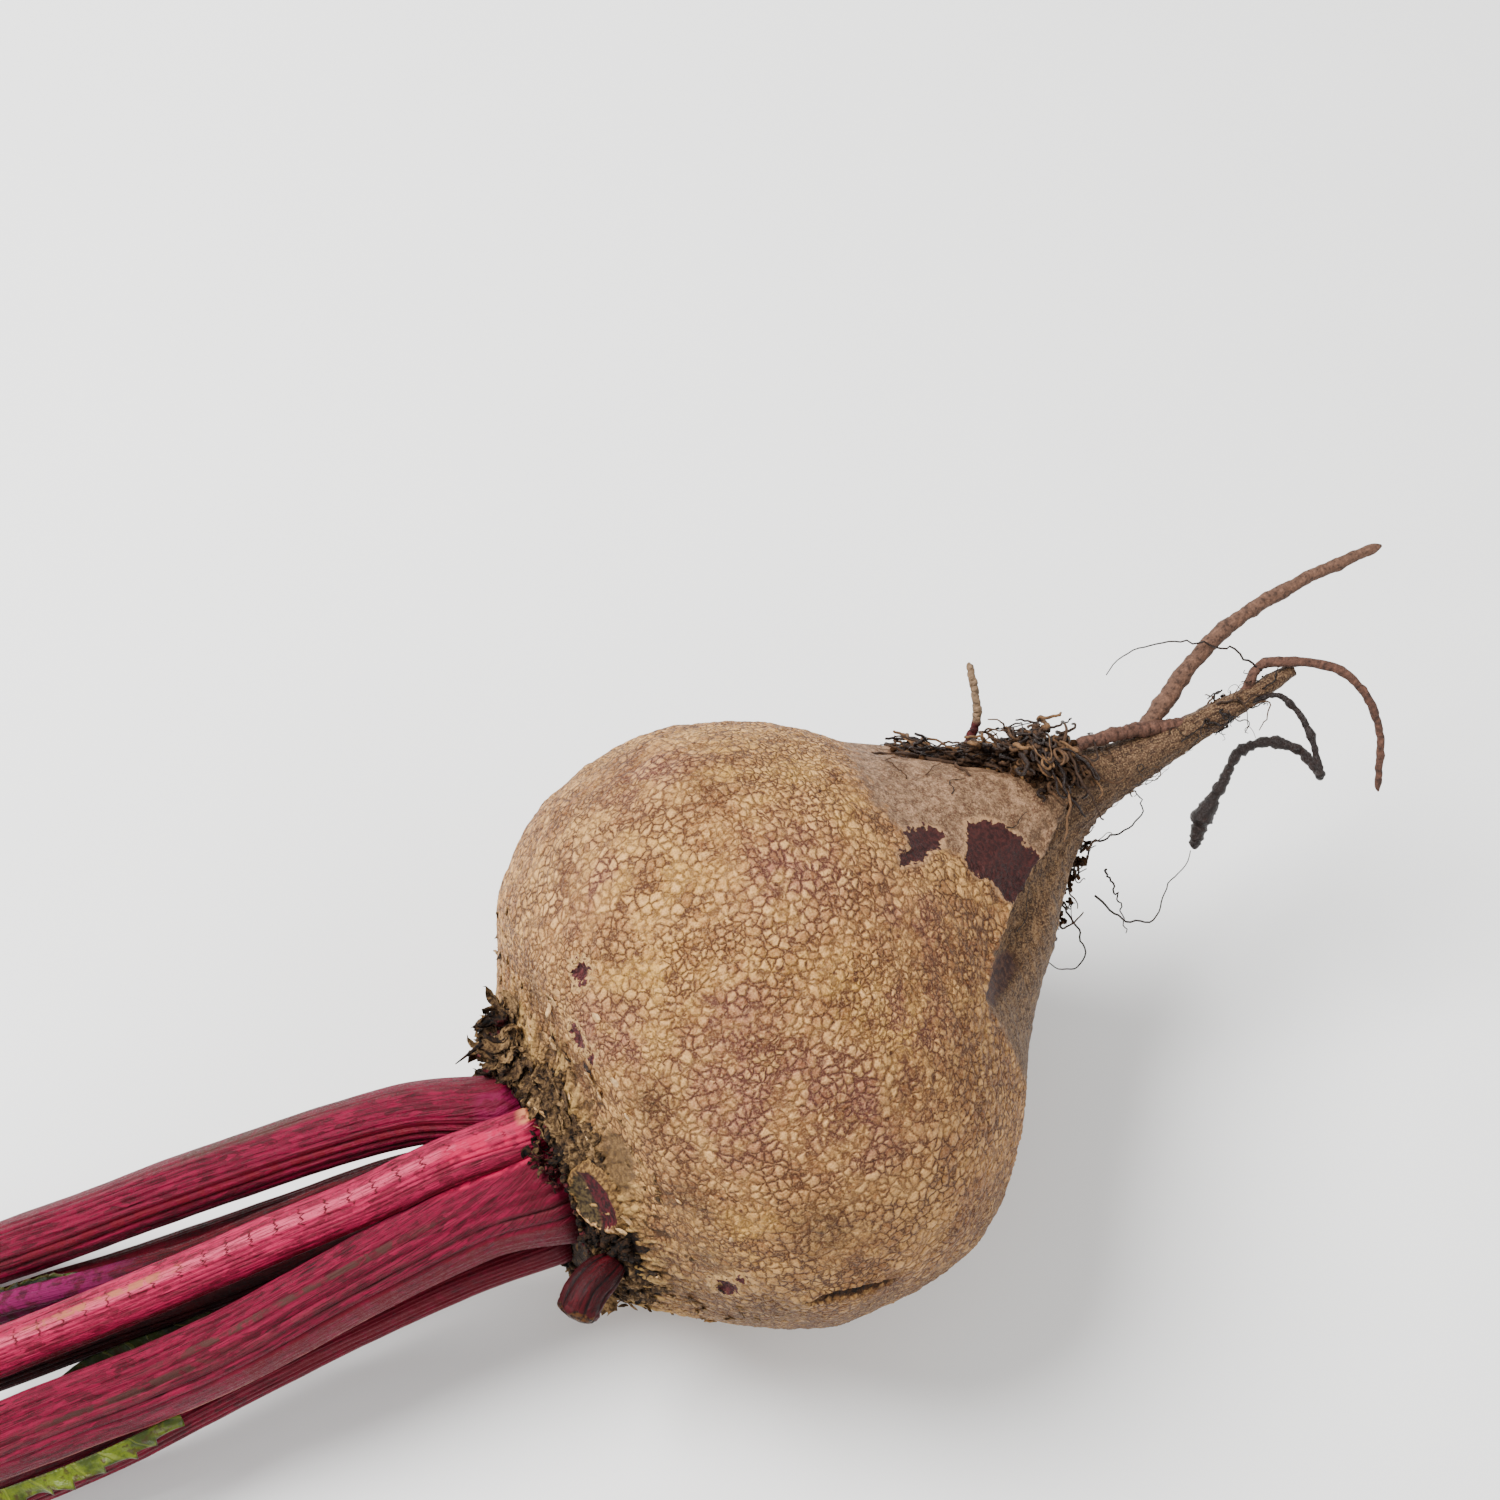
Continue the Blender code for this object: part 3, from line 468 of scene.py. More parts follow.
def srgb(red, green, blue):
    """The base colour that looks like this colour, from 0 to 255, under the studio light."""
    light = (np.array([red, green, blue]) / 255) ** 2.2
    mixed = np.sqrt(np.maximum(light - 0.01, 0)) @ FILM
    return (*(float(value) for value in np.maximum(mixed, 0.03) ** 2.5), 1.0)


class Nodes:
    """Short names for the nodes of a tree."""

    def __init__(self, tree):
        self.tree = tree

    def add(self, kind, inputs=None, **settings):
        node = self.tree.nodes.new(kind)
        for key, value in settings.items():
            setattr(node, key, value)
        for key, value in (inputs or {}).items():
            self.feed(node.inputs[key], value)
        return node

    def feed(self, socket, value):
        if isinstance(value, bpy.types.NodeSocket):
            self.tree.links.new(value, socket)
        else:
            socket.default_value = value

    def math(self, operation, a, b=0.0):
        return self.add("ShaderNodeMath", {0: a, 1: b}, operation=operation).outputs[0]

    def plus(self, a, b):
        return self.math("ADD", a, b)

    def times(self, a, b):
        return self.math("MULTIPLY", a, b)

    def join(self, x, y, z):
        return self.add("ShaderNodeCombineXYZ", {0: x, 1: y, 2: z}).outputs[0]

    def rest(self, value):
        """What is left of 1."""
        return self.math("SUBTRACT", 1.0, value)

    def total(self, *parts):
        """The sum of values, each given with its weight."""
        (value, weight), *others = parts
        total = self.times(value, weight)
        for value, weight in others:
            total = self.plus(total, self.times(value, weight))
        return total

    def step(self, value, low, high, start=0.0, end=1.0):
        """A soft step of the value from start to end."""
        inputs = {"Value": value, "From Min": low, "From Max": high, "To Min": start, "To Max": end}
        return self.add("ShaderNodeMapRange", inputs, interpolation_type="SMOOTHSTEP").outputs[0]

    def mix(self, share, a, b, kind="MIX"):
        node = self.add("ShaderNodeMix", data_type="RGBA", blend_type=kind)
        self.feed(node.inputs["Factor"], share)
        self.feed(node.inputs[6], a)
        self.feed(node.inputs[7], b)
        return node.outputs[2]

    def blend(self, value, low, high, dark, pale):
        """From the dark to the pale colour by a soft step of the value."""
        return self.mix(self.step(value, low, high), srgb(*dark), srgb(*pale))

    def layers(self, colour, *rows):
        """Lays colours over the first one. Each goes by a soft step of a value from low to high, and covers
        at most this much."""
        for value, low, high, most, over in rows:
            if isinstance(over, tuple) and len(over) == 3:
                over = srgb(*over)
            colour = self.mix(self.step(value, low, high, 0.0, most), colour, over)
        return colour

    def move(self, operation, a, b):
        return self.add("ShaderNodeVectorMath", {0: a, 1: b}, operation=operation).outputs[0]

    def noise(self, where, scale, detail=3.0, rough=0.55, output="Fac"):
        inputs = {"Vector": where, "Scale": scale, "Detail": detail, "Roughness": rough}
        return self.add("ShaderNodeTexNoise", inputs).outputs[output]

    def centred(self, where, scale, detail=3.0, reach=1.0):
        """Noise between about -reach and reach."""
        return self.times(self.math("SUBTRACT", self.noise(where, scale, detail), 0.5), 2.0 * reach)

    def shake(self, where, scale, reach):
        """The place moved about by noise."""
        push = self.move("SUBTRACT", self.noise(where, scale, 2.0, output="Color"), (0.5, 0.5, 0.5))
        return self.move("ADD", where, self.move("MULTIPLY", push, (reach, reach, reach)))

    def field(self, name):
        return self.add("ShaderNodeAttribute", attribute_name=name).outputs["Fac"]

    def cells(self, where, scale, randomness=1.0):
        """A random number for each cell round scattered points."""
        inputs = {"Vector": where, "Scale": scale, "Randomness": randomness}
        colour = self.add("ShaderNodeTexVoronoi", inputs, feature="F1").outputs["Color"]
        return self.add("ShaderNodeSeparateXYZ", {0: colour}).outputs[0]


def shade(name, roughness, specular):
    """A new material with its node helper, its shader, and the place in millimetres."""
    material = bpy.data.materials.new(name)
    material.use_nodes = True
    n = Nodes(material.node_tree)
    shader = material.node_tree.nodes["Principled BSDF"]
    shader.inputs["Roughness"].default_value = roughness
    shader.inputs["Specular IOR Level"].default_value = specular
    where = n.move("MULTIPLY", n.add("ShaderNodeTexCoord").outputs["Object"], (1000.0, 1000.0, 1000.0))
    return material, n, shader, where


def finish(n, shader, colour, height, depth):
    """Sets the colour and the fine relief under a millimetre, as a height from 0 to 1 and its full depth."""
    n.feed(shader.inputs["Base Color"], colour)
    relief = n.add("ShaderNodeBump", {"Height": height, "Distance": depth * MM, "Strength": 1.0})
    n.feed(shader.inputs["Normal"], relief.outputs[0])


CELL_SCALE = 0.66
SMALL_CELL_SCALE = 0.92
CELL_RANDOMNESS = 0.92
CELL_HEIGHT = 0.16


def cork_cells(n, where):
    """Distance from the nearest crack between the corky cells of the skin, 0 at the crack, and a tone
    that is the same all over a cell."""
    place = n.shake(n.shake(where, 0.35, 1.3), 1.6, 0.4)
    small = n.step(n.noise(where, 0.08, 2.0), 0.5, 0.62)
    edge = []
    tone = []
    for scale, share in ((CELL_SCALE, n.rest(small)), (SMALL_CELL_SCALE, small)):
        inputs = {"Vector": place, "Scale": scale, "Randomness": CELL_RANDOMNESS}
        away = n.add("ShaderNodeTexVoronoi", inputs, feature="DISTANCE_TO_EDGE").outputs["Distance"]
        edge.append((away, share))
        tone.append((n.cells(place, scale, CELL_RANDOMNESS), share))
    return n.total(*edge), n.total(*tone)


def raise_cells(thing, height):
    """Lifts the corky cells of the skin off its cracks, except where the skin is bare."""
    tree = bpy.data.node_groups.new("cork cells", "GeometryNodeTree")
    tree.interface.new_socket("Geometry", in_out="INPUT", socket_type="NodeSocketGeometry")
    tree.interface.new_socket("Geometry", in_out="OUTPUT", socket_type="NodeSocketGeometry")
    n = Nodes(tree)
    place = n.add("GeometryNodeInputPosition").outputs[0]
    where = n.move("MULTIPLY", place, (1000.0, 1000.0, 1000.0))
    edge, tone = cork_cells(n, where)
    bare = n.add("GeometryNodeInputNamedAttribute", {"Name": "bare"}, data_type="FLOAT").outputs["Attribute"]
    cell = n.plus(n.step(edge, 0.0, 0.2), n.times(tone, 0.35))
    cell = n.times(cell, n.step(bare, -1.0, 0.6, 1.0, 0.0))
    lift = n.times(n.plus(cell, n.centred(where, 0.55, 4.0, 0.5)), height * MM)
    along = n.add("GeometryNodeInputNormal").outputs[0]
    push = n.add("ShaderNodeVectorMath", {0: along, "Scale": lift}, operation="SCALE").outputs[0]
    moved = n.add("GeometryNodeSetPosition", {"Geometry": n.add("NodeGroupInput").outputs[0], "Offset": push})
    n.add("NodeGroupOutput", {0: moved.outputs[0]})
    modifier = thing.modifiers.new("cells", "NODES")
    modifier.node_group = tree
    graph = bpy.context.evaluated_depsgraph_get()
    mesh = bpy.data.meshes.new_from_object(thing.evaluated_get(graph))
    thing.modifiers.clear()
    thing.data = mesh


def patch(n, colour, field, ragged, soft, inside):
    """Colours the inside of a marked patch, with a ragged or soft edge."""
    edge = n.plus(n.field(field), ragged)
    return n.mix(n.step(edge, -soft, soft), colour, inside)


def cork_colour(n, where, edge, tone, cork, noises):
    """Colour of the corky cells, the cracks between them, and the broad tints of the skin."""
    middle, fine, streak, chip = noises
    blotch = n.noise(n.shake(where, 0.15, 4.0), 0.1, 3.0)
    colour = n.blend(n.noise(where, 0.045, 3.0), 0.38, 0.62, (202, 156, 113), (224, 181, 131))
    colour = n.layers(colour, (middle, 0.45, 0.62, 0.65, (164, 120, 86)),
                      (streak, 0.53, 0.64, 0.6, (150, 106, 76)), (blotch, 0.5, 0.62, 0.5, (156, 112, 88)),
                      (streak, 0.45, 0.34, 0.6, (218, 180, 132)))
    purple = n.times(n.field("purple"), n.step(middle, 0.36, 0.56, 0.15, 1.0))
    grey = n.field("grey")
    mottle = n.noise(where, 0.7, 4.0)
    # The grey tint is smudges, and painted shade on the lower side of the bulb
    for share, over in ((n.times(purple, 0.75), (180, 134, 122)),
                        (n.times(n.field("brown"), n.step(mottle, 0.4, 0.54, 0.15, 1.0)), (112, 70, 52)),
                        (n.times(n.field("yellow"), n.step(middle, 0.35, 0.62, 0.9, 0.2)), (214, 170, 108)),
                        (n.times(grey, n.step(fine, 0.36, 0.6, 0.7, 1.0)), (92, 69, 50)),
                        (n.times(n.step(chip, 0.55, 1.0, 0.0, 0.45), cork), (222, 184, 142)),
                        (n.times(n.step(chip, 0.4, 0.05, 0.0, 0.5), cork), (138, 94, 66))):
        colour = n.mix(share, colour, srgb(*over))
    lit = n.times(n.step(edge, 0.08, 0.24), n.step(tone, 0.3, 1.0, 0.05, 0.85))
    lit = n.times(lit, n.step(blotch, 0.58, 0.44, 0.4, 1.0))
    lit = n.times(lit, n.rest(n.total((grey, 0.8), (purple, 0.1))))
    colour = n.mix(n.times(lit, cork), colour, srgb(234, 192, 146))
    dull = n.times(n.step(tone, 0.35, 0.05, 0.0, 0.45), cork)
    colour = n.mix(dull, colour, srgb(146, 104, 76))
    strength = n.step(n.noise(where, 0.2, 3.0), 0.36, 0.56, 0.6, 1.0)
    width = n.plus(0.14, n.times(purple, 0.05))
    crack = n.times(n.step(edge, 0.03, width, 1.0, 0.0), n.times(strength, cork))
    colour = n.mix(crack, colour, n.mix(purple, srgb(104, 70, 46), srgb(112, 76, 68)))
    dot = n.add("ShaderNodeTexVoronoi", {"Vector": where, "Scale": 0.5}, feature="F1").outputs["Distance"]
    dot = n.times(n.step(dot, 0.12, 0.26, 0.9, 0.0), n.step(n.noise(where, 0.11), 0.5, 0.6))
    return n.mix(n.times(dot, cork), colour, srgb(96, 56, 40))


def smooth_colour(n, where, colour, cork, noises):
    """Colour of the smooth skin of the tail and of the streaked band beside it. The band's dark browns
    are streaks and painted shade of the side that turns away from the light.
    """
    middle, fine, streak, fibre = noises
    plain = n.blend(middle, 0.36, 0.62, (134, 115, 99), (164, 142, 123))
    plain = n.layers(plain, (streak, 0.48, 0.58, 0.9, (112, 92, 78)),
                     (streak, 0.46, 0.36, 0.5, (198, 173, 152)), (fine, 0.5, 0.62, 0.8, (120, 92, 78)),
                     (fine, 0.46, 0.34, 0.6, (204, 172, 148)), (fibre, 0.56, 0.7, 0.5, (202, 176, 156)))
    colour = n.mix(n.rest(cork), colour, plain)
    # Band: streaks, darkened as painted shade where the side turns away from the light
    band = n.blend(fibre, 0.38, 0.58, (66, 50, 40), (120, 98, 79))
    band = n.layers(band, (streak, 0.52, 0.62, 0.7, (152, 128, 105)), (fine, 0.54, 0.66, 0.6, (64, 44, 34)))
    colour = patch(n, colour, "band", n.centred(where, 0.45, 4.0, 2.2), 1.3, band)
    tail = n.blend(fibre, 0.36, 0.6, (66, 50, 41), (116, 97, 82))
    tail = n.layers(tail, (fine, 0.48, 0.62, 0.5, (58, 42, 34)))
    return patch(n, colour, "tail", n.centred(where, 0.4, reach=4.0), 4.0, tail)


def marked_colour(n, where, colour, fine):
    """Colour of the peeled, bruised, split and stained places, and of the painted shade at the crown's rim."""
    straw = n.blend(fine, 0.4, 0.58, (106, 84, 60), (168, 138, 102))
    colour = n.mix(n.times(n.field("straw"), 0.75), colour, straw)
    ridge = n.plus(n.field("ridge"), n.centred(where, 1.6, 4.0, 0.5))
    colour = n.layers(colour, (ridge, 0.15, 0.55, 0.6, (206, 174, 130)),
                      (ridge, -0.05, -0.4, 0.75, (88, 66, 48)))
    smear = n.blend(fine, 0.4, 0.6, (112, 90, 68), (146, 121, 94))
    colour = patch(n, colour, "smear", n.centred(where, 0.6, reach=1.6), 1.2, smear)
    colour = n.layers(colour, (n.field("peel"), -0.9, -0.2, 0.5, (210, 178, 148)))
    flesh = n.blend(fine, 0.4, 0.6, (70, 40, 38), (98, 64, 60))
    colour = patch(n, colour, "peel", n.centred(where, 0.8, 5.0, 2.0), 0.12, flesh)
    bruise = n.blend(fine, 0.42, 0.6, (76, 54, 50), (116, 94, 84))
    colour = patch(n, colour, "bruise", n.centred(where, 0.7, 4.0, 1.6), 0.7, bruise)
    inside = n.blend(fine, 0.4, 0.6, (52, 38, 28), (98, 72, 54))
    colour = patch(n, colour, "slit", n.centred(where, 1.4, reach=0.8), 0.3, inside)
    ragged = n.centred(where, 0.9, 5.0, 3.4)
    colour = n.layers(colour, (n.plus(n.field("pit"), ragged), -1.3, -0.5, 0.7, (218, 186, 146)))
    inside = n.blend(fine, 0.42, 0.58, (76, 34, 38), (122, 80, 78))
    colour = patch(n, colour, "pit", ragged, 0.25, inside)
    # Near black where the dark field lies: painted shade at the crown's rim, by the stub and under debris
    dark = n.times(n.field("dark"), n.step(fine, 0.38, 0.58, 0.6, 1.35))
    return n.layers(colour, (dark, 0.3, 0.75, 0.95, (44, 32, 28)))


def skin_shade():
    material, n, shader, where = shade("beetroot_skin", 0.7, 0.25)
    edge, tone = cork_cells(n, where)
    cork = n.rest(n.step(n.plus(n.field("bare"), n.centred(where, 0.5, 5.0, 5.0)), -1.4, 1.4))
    middle = n.noise(where, 0.2, 4.0)
    fine = n.noise(where, 1.5, 5.0, 0.65)
    grain = n.noise(where, 3.4, 3.0, 0.6)
    chip = n.cells(n.shake(where, 2.2, 0.7), 1.7)
    lengthwise = n.add("ShaderNodeAttribute", attribute_name="lengthwise").outputs["Vector"]
    streak = n.noise(lengthwise, 0.7, 5.0, 0.6)
    fibre = n.noise(lengthwise, 2.2, 4.0, 0.6)
    colour = cork_colour(n, where, edge, tone, cork, (middle, fine, streak, chip))
    colour = smooth_colour(n, where, colour, cork, (middle, fine, streak, fibre))
    colour = n.layers(colour, (grain, 0.48, 0.66, 0.36, (104, 72, 54)),
                      (grain, 0.52, 0.36, 0.22, (228, 198, 166)))
    colour = marked_colour(n, where, colour, fine)
    n.feed(shader.inputs["Roughness"], n.step(fine, 0.3, 0.7, 0.58, 0.78))
    height = n.total((n.times(n.step(edge, 0.0, 0.3), cork), 0.55), (n.times(chip, cork), 0.16), (fine, 0.4),
                     (grain, 0.28), (n.times(fibre, n.rest(cork)), 0.4))
    finish(n, shader, colour, height, 0.55)
    return material


# Fields on the skin


def rumple(a, b, seed):
    """Irregular waves over two directions, between about -1 and 1."""
    first = np.sin(a + 1.7 * np.sin(0.7 * b + seed)) * np.sin(b + 1.3 * np.sin(0.8 * a + 2 * seed))
    second = np.sin(2.3 * a + 1.9 * np.sin(1.1 * b + 3 * seed))
    second = second * np.sin(2.1 * b + 1.7 * np.sin(1.3 * a + seed))
    return (first + 0.6 * second) / 1.3


def skin_ways(t, phi):
    """Off the skin, down it away from the crown, and round it."""
    up = unit(on_root(t, phi, 2.0) - on_root(t, phi, 1.0))
    radial = math.cos(phi) * OUTWARD + math.sin(phi) * ACROSS
    beside = np.cross(AXIS, radial)
    down = unit(np.cross(beside, up))
    down = down * np.sign(np.dot(down, AXIS))
    return up, down, unit(np.cross(up, down))


def outline_field(points, corners):
    """How far each point lies inside an outline on the skin, in millimetres, and below zero outside it."""
    t, phi = np.array(corners, float).T
    ring = skin(t, np.radians(phi))
    middle_t, middle_phi = t.mean(), math.radians(phi.mean())
    middle = skin(middle_t, middle_phi)
    off = unit(on_root(middle_t, middle_phi, 1.0) - middle)
    first = unit(AXIS - off * np.dot(AXIS, off))
    second = np.cross(off, first)
    flat = np.stack([(points - middle) @ first, (points - middle) @ second], -1)
    corner = np.stack([(ring - middle) @ first, (ring - middle) @ second], -1)
    away = np.full(len(points), 99.0)
    inside = np.zeros(len(points), bool)
    for a, b in zip(corner, np.roll(corner, -1, axis=0)):
        side = b - a
        share = np.clip((flat - a) @ side / (side @ side), 0, 1)
        away = np.minimum(away, np.linalg.norm(flat - a - share[:, None] * side, axis=1))
        crosses = (a[1] > flat[:, 1]) != (b[1] > flat[:, 1])
        at = a[0] + (flat[:, 1] - a[1]) / np.where(b[1] == a[1], 1.0, b[1] - a[1]) * side[0]
        inside ^= crosses & (flat[:, 0] < at)
    near = np.abs((points - middle) @ off) < 9
    return np.clip(np.where(inside & near, away, -away), -4, 4)


def tint_field(points, tints):
    """A soft spot round each tint."""
    total = np.zeros(len(points))
    for t, phi, half in tints:
        away = np.linalg.norm(points - skin(t, math.radians(phi)), axis=1)
        total = np.maximum(total, np.exp(-(away / half) ** 2))
    return total


def flap_angle(t):
    """Angle of the lifted edge of skin beside the peeled patch."""
    return np.radians(smooth([(60, -30), (68, -29), (80, -28.5), (88, -29), (93, -21), (97, -12)], t))


def crown_ridges(t, phi):
    """Ridges that run from the crown over its shoulder, between about -1 and 1."""
    waves = rumple(0.6 * t, 34 * phi, 2.0) + 0.6 * rumple(1.3 * t, 79 * phi, 1.0)
    return waves / 1.4 * (1 - ease(1, 9, t)) * ease(-4.4, -3, t)


def skin_fields(points, t, phi):
    """Marks, tints and borders of the skin, each as a number at every point."""
    radius = smooth(OUTLINE, t)
    beyond_flap = -turn(phi, flap_angle(t)) * radius
    far = ease(math.radians(62), math.radians(95), np.abs(turn(phi, math.radians(8))))
    uneven = t + far * (2.6 * wobble(4 * phi, 1.0) + 2.2 * rumple(11 * phi, 0.3 * t, 2.0))
    band = np.minimum(beyond_flap, 2.0) * ease(60, 68, t) * (1 - ease(98, 106, t))
    band = band - 12 * ease(math.radians(58), math.radians(92), -phi)
    band = np.where(beyond_flap > 0, band, -2.0) - 6 * (1 - ease(60, 67, uneven))
    start = smooth(SMOOTH_START, np.degrees(turn(phi, 0.0)))
    pits = [size - np.linalg.norm(points - skin(at, math.radians(angle)), axis=1) for at, angle, size in PITS]
    rim = (1 - ease(-0.5, 3.8, t + 1.5 * wobble(9 * phi, 1.0))) * ease(-4.4, -3.4, t)
    fields = {
        "band": band,
        "tail": t - 92,
        "straw": rim,
        "ridge": crown_ridges(t, phi),
        "pit": np.clip(np.max(pits, axis=0), -4, 4),
        "lengthwise": np.stack([0.22 * t, radius * np.cos(phi), radius * np.sin(phi)], -1),
    }
    for name, outlines in MARKS.items():
        fields[name] = np.max([outline_field(points, corners) for corners in outlines], axis=0)
    for name, tints in TINTS.items():
        fields[name] = tint_field(points, tints)
    # Painted shade along the rim of the crown face, where the skin runs under the collar
    fields["dark"] = np.maximum(fields["dark"], 0.9 - 0.9 * ease(-4.3, -3.5, t))
    bare = np.maximum(uneven - start, 2 * band)
    fields["bare"] = np.clip(np.maximum(bare, fields["smear"]), -4, 4)
    return fields


def skin_relief(t, phi, fields):
    """Height of the marks and wrinkles of the skin."""
    height = -0.3 * ease(-0.2, 0.4, fields["peel"]) - 1.0 * ease(-0.4, 0.9, fields["slit"])
    height += 0.35 * ease(-1.3, -0.5, fields["slit"]) * (1 - ease(-0.5, 0.2, fields["slit"]))
    height += 0.25 * ease(-0.9, -0.3, fields["pit"]) * (1 - ease(-0.3, 0.2, fields["pit"]))
    height -= 0.55 * ease(-0.3, 0.9, fields["pit"])
    height -= 0.3 * ease(-0.6, 0.6, fields["bruise"])
    radius = smooth(OUTLINE, t)
    beyond = -turn(phi, flap_angle(t)) * radius + 0.5 * wobble(0.9 * t, 2.0)
    flap = ease(62, 70, t) * (1 - ease(93, 98, t))
    height += flap * (0.6 * np.exp(-((beyond + 0.6) / 0.7) ** 2) - 0.9 * ease(-0.2, 0.7, beyond)
                      * (1 - ease(3, 9, beyond)))
    across = radius * phi
    height += 0.2 * rumple(0.45 * t, 0.45 * across, 1.0) * ease(4, 14, t)
    height += 0.12 * rumple(0.2 * t, 1.1 * across, 4.0) * ease(10, 30, t) * (1 - ease(60, 72, t))
    wrinkled = ease(66, 84, t) * np.minimum(radius / 9, 1)
    height += wrinkled * 0.2 * wobble(11 * phi + 0.6 * np.sin(t / 5), 0.4 + 0.03 * t)
    height += ease(88, 100, t) * np.minimum(radius / 6, 1) * 0.26 * wobble(5 * phi + t / 9, 3.0)
    height += 0.14 * ease(86, 96, t) * np.minimum(radius / 6, 1) * np.sin(3.3 * t + 2 * np.cos(phi + t / 7))
    return height + 0.55 * crown_ridges(t, phi)


def make_skin():
    """The whole skin, with finer rings on the bulb than on the tail."""
    t_all = np.linspace(CROWN_FACE, ROOT_END, 4000)
    line = skin(t_all, np.zeros_like(t_all))
    along = np.concatenate([[0], np.cumsum(np.linalg.norm(np.diff(line, axis=0), axis=1))])
    t_rings = []
    phi_rings = []
    begin = CROWN_FACE
    for end, sides, spacing in SKIN_RINGS:
        from_s, to_s = np.interp([begin, end], t_all, along)
        steps = np.arange(from_s, to_s - 0.3 * spacing, spacing)
        for t in np.interp(steps, along, t_all):
            t_rings.append(np.full(sides, t))
            phi_rings.append(circle(sides))
        begin = end
    t = np.concatenate(t_rings)
    phi = np.concatenate(phi_rings)
    fields = skin_fields(skin(t, phi), t, phi)
    points = on_root(t, phi, skin_relief(t, phi, fields))
    starts = np.cumsum([len(ring) for ring in t_rings])[:-1]
    thing = piece("root_skin", lofted(np.split(points, starts)), skin_shade(), ("root",), fields)
    raise_cells(thing, CELL_HEIGHT)
    rest_flat(thing)


def rest_flat(thing):
    """Flattens what would be below the table."""
    count = len(thing.data.vertices)
    values = np.empty(count * 3, np.float32)
    thing.data.vertices.foreach_get("co", values)
    values[2::3] = np.maximum(values[2::3], 0)
    thing.data.vertices.foreach_set("co", values)


# Roots and hairs


def root_shade(name, dark, middle, pale, contrast):
    """Bark of roots, from dark to pale by each root's tone, with a fine grain whose bright flecks are
    partly painted glints.
    """
    material, n, shader, where = shade(name, 0.72, 0.3)
    fine = n.noise(where, 1.3, 5.0, 0.65)
    tone = n.field("tone")
    colour = n.layers(srgb(*dark), (tone, 0.05, 0.45, 1.0, middle), (tone, 0.5, 0.9, 1.0, pale),
                      (tone, 1.2, 1.4, 1.0, (96, 44, 42)), (fine, 0.5, 0.64, contrast, dark))
    # Bright flecks that double the colour: pale bits of bark, and painted glints
    colour = n.mix(n.step(fine, 0.48, 0.34, 0.0, contrast), colour, (2.0, 2.0, 2.0, 1), "MULTIPLY")
    n.feed(shader.inputs["Roughness"], n.step(tone, 0.1, 0.35, 0.36, 0.75))
    finish(n, shader, colour, fine, 0.5)
    return material


def make_side_roots():
    """The thick side roots: each has its own tone, and the upright one a pale tip."""
    pile = Pile()
    for name, (route, thick_start, thick_end) in SIDE_ROOTS.items():
        count = 16 * len(route)
        path = through([beside_root(*place) for place in route], count)
        share = np.linspace(0, 1, count)
        radii = thick_start + (thick_end - thick_start) * share
        radii = radii * (1 + 0.12 * wobble(30 * share, 1.0) + 0.07 * wobble(110 * share, 2.0))
        tone = np.full(count, SIDE_ROOT_TONES[name])
        if name == "withered":
            knots = 0.5 * np.exp(-((share - 0.9) / 0.05) ** 2) + 0.25 * np.exp(-((share - 0.55) / 0.04) ** 2)
            radii = radii * (0.72 + 0.16 * wobble(60 * share, 4.0) + 0.14 * wobble(190 * share, 5.0) + knots)
        if name == "upright":
            tone = 1.5 - 0.55 * ease(0.5, 0.7, share)
        radii[-3:] *= (0.85, 0.6, 0.25)
        path = path + 0.14 * np.stack([wobble(40 * share, s) for s in (1.0, 2.0, 3.0)], -1)
        pile.take(tube(path, radii, SIDE_ROOT_SIDES), np.repeat(tone, SIDE_ROOT_SIDES))
    bark = root_shade("root_bark", (44, 34, 30), (116, 92, 82), (148, 131, 114), 0.6)
    pile.piece("side_roots", bark, "root_skin")


def wander(start, heading, length, curl, rise, draw, count=16, coil=0.0):
    """A curly path over the skin from a place t, phi and lift. The heading is an angle from the axis, and
    coil a steady turning that winds the path into a loop."""
    t, phi, lift = start
    step = length / count
    angle = heading
    bend = 0.0
    places = []
    for _ in range(count + 1):
        places.append((t, phi, lift))
        bend = 0.7 * bend + draw.normal() * curl
        angle += bend + coil
        t += math.cos(angle) * step
        phi += math.sin(angle) * step / max(float(smooth(OUTLINE, t)), 3.5)
        lift = max(0.2, lift + step * rise + draw.normal() * step * 0.3)
    t, phi, lift = np.array(places).T
    return on_root(t, phi, lift)


def hair(pile, path, radius, tone):
    """A thin root along the path, that rests on the table where it would go below it."""
    count = round(1.3 * len(path))
    points = through(path, count)
    points[:, 2] = np.maximum(points[:, 2], radius)
    pile.take(tube(points, radius * np.linspace(1.0, 0.45, count), HAIR_SIDES), tone)


